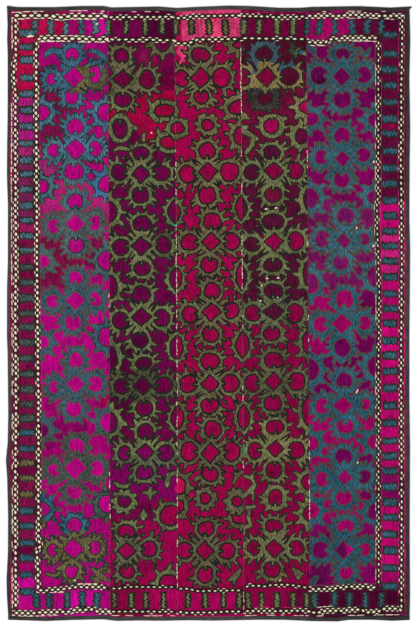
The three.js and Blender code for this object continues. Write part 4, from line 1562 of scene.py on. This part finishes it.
# Single cream stitches where the outline's couching thread shows: x, y, and half of its run.
CREAM_STITCHES = (
    (218, 397, 5, 1), (256, 401, 5, 2), (222, 133, 5, -1), (264, 135, 5, 1),
    (564, -295, 4, 8), (562, 325, 1, 4), (566, -566, 3, 3), (627, 576, 1, 5), (625, 257, 1, 5),
    (201, 106, 2, 2), (197, 48, 2, 3), (262, 61, 2, 1), (-424, 1100, 5, 3), (-508, -1013, 4, 2),
    (271, -1013, 3, 2), (-217, 686, 3, 2),
)
# Repairs in green thread: a line of places.
GREEN_REPAIRS = (
    ((-143, 342), (-137, 337), (-130, 335), (-123, 337), (-116, 341)),
    ((135, -496), (134, -506), (135, -516), (134, -526), (135, -536)),
)


def seam_stitches(chance):
    parts = []
    for seam, start, end, share in SEAM_THREAD:
        y = start
        while y > end:
            length = chance.uniform(7, 20)
            if chance.uniform() < share:
                x = seam_line(seam, y) + chance.uniform(-1.2, 1.2)
                half = chance.uniform(0.9, 1.7)
                end_x = x + chance.uniform(-1, 1)
                parts.append(stitch((x, y), (end_x, y - length), half, SEAM_HEIGHT))
            y -= length + chance.uniform(0.5, 4)
    for x, y, dx, dy in CREAM_STITCHES:
        parts.append(stitch((x - dx, y - dy), (x + dx, y + dy), 3.0, PADDED_HEIGHT))
    return parts


def laid_threads(colour, chance):
    """The single threads of one colour beside the braids, broken where they have worn through."""
    parts = []
    for share, half, points in LAID_THREADS[colour]:
        line, run = evenly(points, 6)
        place = 0.0
        while place < run[-1] - 12:
            length = chance.uniform(10, 34)
            spots = (place, place + length)
            ends = np.column_stack([np.interp(spots, run, line[:, axis]) for axis in (0, 1)])
            ends += chance.uniform(-0.8, 0.8, (2, 2))
            if chance.uniform() < share:
                worn = half * chance.uniform(0.8, 1.2)
                parts.append(stitch(*ends, worn, LAID_HEIGHT, 0.7))
            place += length + chance.uniform(0.5, 4)
    return parts


def tape_section(share, pucker):
    """The folded tape's section: its distance in from the outer edge, and its height."""
    reach = TAPE_WIDTH * share
    top = TAPE_HEIGHT
    outline = (
        (1.0, 0), (reach, 0), (reach, TAPE_LEAF), (TAPE_FOLD, TAPE_LEAF), (TAPE_FOLD, top - TAPE_LEAF),
        (reach, top - TAPE_LEAF), (reach, top - 0.15 - pucker), (reach - 1.2, top + 0.05 - pucker),
        (reach * 0.55, top + 0.3 - pucker * 0.4), (2.2, top + 0.12), (0.9, top - 0.25),
        (0.15, top - 1.0), (0, top / 2), (0.15, 1.0), (0.4, 0.35),
    )
    return np.array(outline)


def tape_piece(node_name, path, inward, shares, material, chance):
    """One length of tape along an edge, drawn in a little at each hemming stitch."""
    places = np.arange(len(path))
    puckers = 0.22 * (0.5 + 0.5 * np.cos(places * 2 * np.pi / 3)) * chance.uniform(0.5, 1.4, len(path))
    section = np.array([tape_section(share, pucker) for share, pucker in zip(shares, puckers)])
    path = np.column_stack([path, np.zeros(len(path))])
    mesh = mesh_of(node_name + "_tape", *swept(path, section, across=np.array([*inward, 0])))
    made = piece(node_name + "_tape", mesh, material)
    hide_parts(node_name)
    length = float(np.hypot(*np.diff(path[:, :2], axis=0).T).sum())
    # A narrower binding was folded from a narrower tape.
    cut = TAPE_CUT - 2 * TAPE_WIDTH * (1 - shares[-1])
    return made, (float(cut) * MM, length * MM)


def bound_edges(material, chance):
    """The four lengths of tape: two over the ends and the corners, two butted between them."""
    step = 6.0
    corner = RUG_LENGTH / 2
    left, right = np.interp(corner, *LEFT_EDGE), np.interp(corner, *RIGHT_EDGE)
    head_x = np.linspace(right, left, round((right - left) / step))
    foot_left, foot_right = np.interp(-corner, *LEFT_EDGE), np.interp(-corner, *RIGHT_EDGE)
    foot_x = np.linspace(foot_left, foot_right, round((foot_right - foot_left) / step))
    knob_x = right + np.array([KNOB_REACH, KNOB_REACH - KNOB_TIP, 2, 0.8])
    head_x = np.concatenate([knob_x, head_x])
    head_share = np.concatenate([np.full(4, KNOB_SHARE) * (0.7, 1, 1, 1), np.ones(len(head_x) - 4)])
    left_y = np.linspace(LEFT_EDGE[0][-1], LEFT_EDGE[0][0], round(2 * HALF / step))
    right_y = np.linspace(RIGHT_EDGE[0][0], RIGHT_EDGE[0][-1], round(2 * HALF / step))
    head = np.column_stack([head_x, np.interp(head_x, *HEAD_EDGE)])
    foot = np.column_stack([foot_x, np.interp(foot_x, *FOOT_EDGE)])
    left_path = np.column_stack([np.interp(left_y, *LEFT_EDGE), left_y])
    left_share = np.full(len(left_path), LEFT_TAPE_SHARE)
    right_path = np.column_stack([np.interp(right_y, *RIGHT_EDGE), right_y])
    return [
        tape_piece("binding_head", head, (0, -1), head_share, material, chance),
        tape_piece("binding_foot", foot, (0, 1), np.ones(len(foot)), material, chance),
        tape_piece("binding_left", left_path, (1, 0), left_share, material, chance),
        tape_piece("binding_right", right_path, (-1, 0), np.ones(len(right_path)), material, chance),
    ]


# ---- Assembly ----

chance = np.random.default_rng(7)
cream = spun_thread("cream_silk_floss", "#fff2d6", "#fce2bc", 0.55, 3.0)
rose = spun_thread("rose_silk_floss", "#d8387e", "#9c1650", 0.5, 3.0)
black = spun_thread("black_plied_cotton", "#221d14", "#120f0a", 0.7, 3.0)
green = spun_thread("green_mending_cotton", "#12a473", "#0b7a55", 0.7, 2.5)
tape_cloth = woven_tape()

strips = [strip_piece(number) for number in range(len(STRIPS))]
on_strip = {}
for number, name in enumerate(STRIPS):
    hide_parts(name)
    fills, cords = [], []
    for points, worked in GUARD_BRAIDS.values():
        if number in worked:
            floss, pair = braid(number, points, *worked[number], chance)
            fills += floss
            cords += pair
    on_strip[name] = [
        sewn("braid_fill" + name[5:], fills, cream),
        sewn("braid_cords" + name[5:], cords, black),
    ]

repairs = [stitch(a, b, 3.0, LAID_HEIGHT) for line in GREEN_REPAIRS for a, b in zip(line, line[1:])]
on_strip["strip_centre"] += [
    sewn("seam_stitches", seam_stitches(chance), cream),
    sewn("cream_laid_threads", laid_threads("cream", chance), cream),
    sewn("rose_laid_threads", laid_threads("rose", chance), rose),
    sewn("green_repairs", repairs, green),
]

tapes = bound_edges(tape_cloth, chance)

# ---- Floor and light ----

FLOOR_HALF = 12000.0
FLOOR_DROP = 0.3  # the board lies this far under the cloth


def seen_plainly(tree):
    """1 on a ray from the eye, also one that comes by way of gloss or glass, and 0 on the rest."""
    eye = node(tree, "LightPath", out="Is Camera Ray")
    gloss = node(tree, "LightPath", out="Is Glossy Ray")
    glass = node(tree, "LightPath", out="Is Transmission Ray")
    seen = node(tree, "Math", {0: eye, 1: gloss}, operation="MAXIMUM")
    return node(tree, "Math", {0: seen, 1: glass}, operation="MAXIMUM")


def pale_floor():
    """Matt white studio board, which keeps the rug's shadow and otherwise looks plain white."""
    material, tree = new_material("matt_white_board")
    grain = node(tree, "TexNoise", {"Scale": 3, "Detail": 2})
    shade = node(tree, "MapRange", {"Value": grain, "To Min": 0.86, "To Max": 0.9})
    board = node(tree, "BsdfDiffuse", {"Color": shade})
    glow = node(tree, "Emission", {"Color": (1, 1, 1, 1), "Strength": 0.24})
    lit = node(tree, "AddShader", {0: board, 1: glow})
    mixed = node(tree, "MixShader", {0: seen_plainly(tree), 1: board, 2: lit})
    node(tree, "OutputMaterial", {"Surface": mixed})
    return material


corners = [(x * FLOOR_HALF, y * FLOOR_HALF, -FLOOR_DROP) for x, y in ((-1, -1), (1, -1), (1, 1), (-1, 1))]
ground_board = bpy.data.objects.new("floor", mesh_of("floor", corners, [[0, 1, 2, 3]]))
ground_board.data.materials.append(pale_floor())
bpy.context.scene.collection.objects.link(ground_board)

world = bpy.data.worlds.new("soft_studio")
world.use_nodes = True
world.node_tree.nodes.clear()
bpy.context.scene.world = world
sky = world.node_tree
ambient = node(sky, "Background", {"Color": (1, 1, 1, 1), "Strength": 0.55})
backdrop = node(sky, "Background", {"Color": (1, 1, 1, 1), "Strength": 1})
both = node(sky, "MixShader", {0: seen_plainly(sky), 1: ambient, 2: backdrop})
node(sky, "OutputWorld", {"Surface": both})

for name, energy, tilt, turn in (("key_light", 1.35, 52, -40), ("fill_light", 0.5, 48, 130)):
    lamp = bpy.data.objects.new(name, bpy.data.lights.new(name, "SUN"))
    lamp.data.energy = energy
    lamp.data.angle = math.radians(25)
    lamp.rotation_euler = (math.radians(tilt), 0, math.radians(turn))
    bpy.context.scene.collection.objects.link(lamp)

bpy.context.scene.view_settings.view_transform = "Standard"
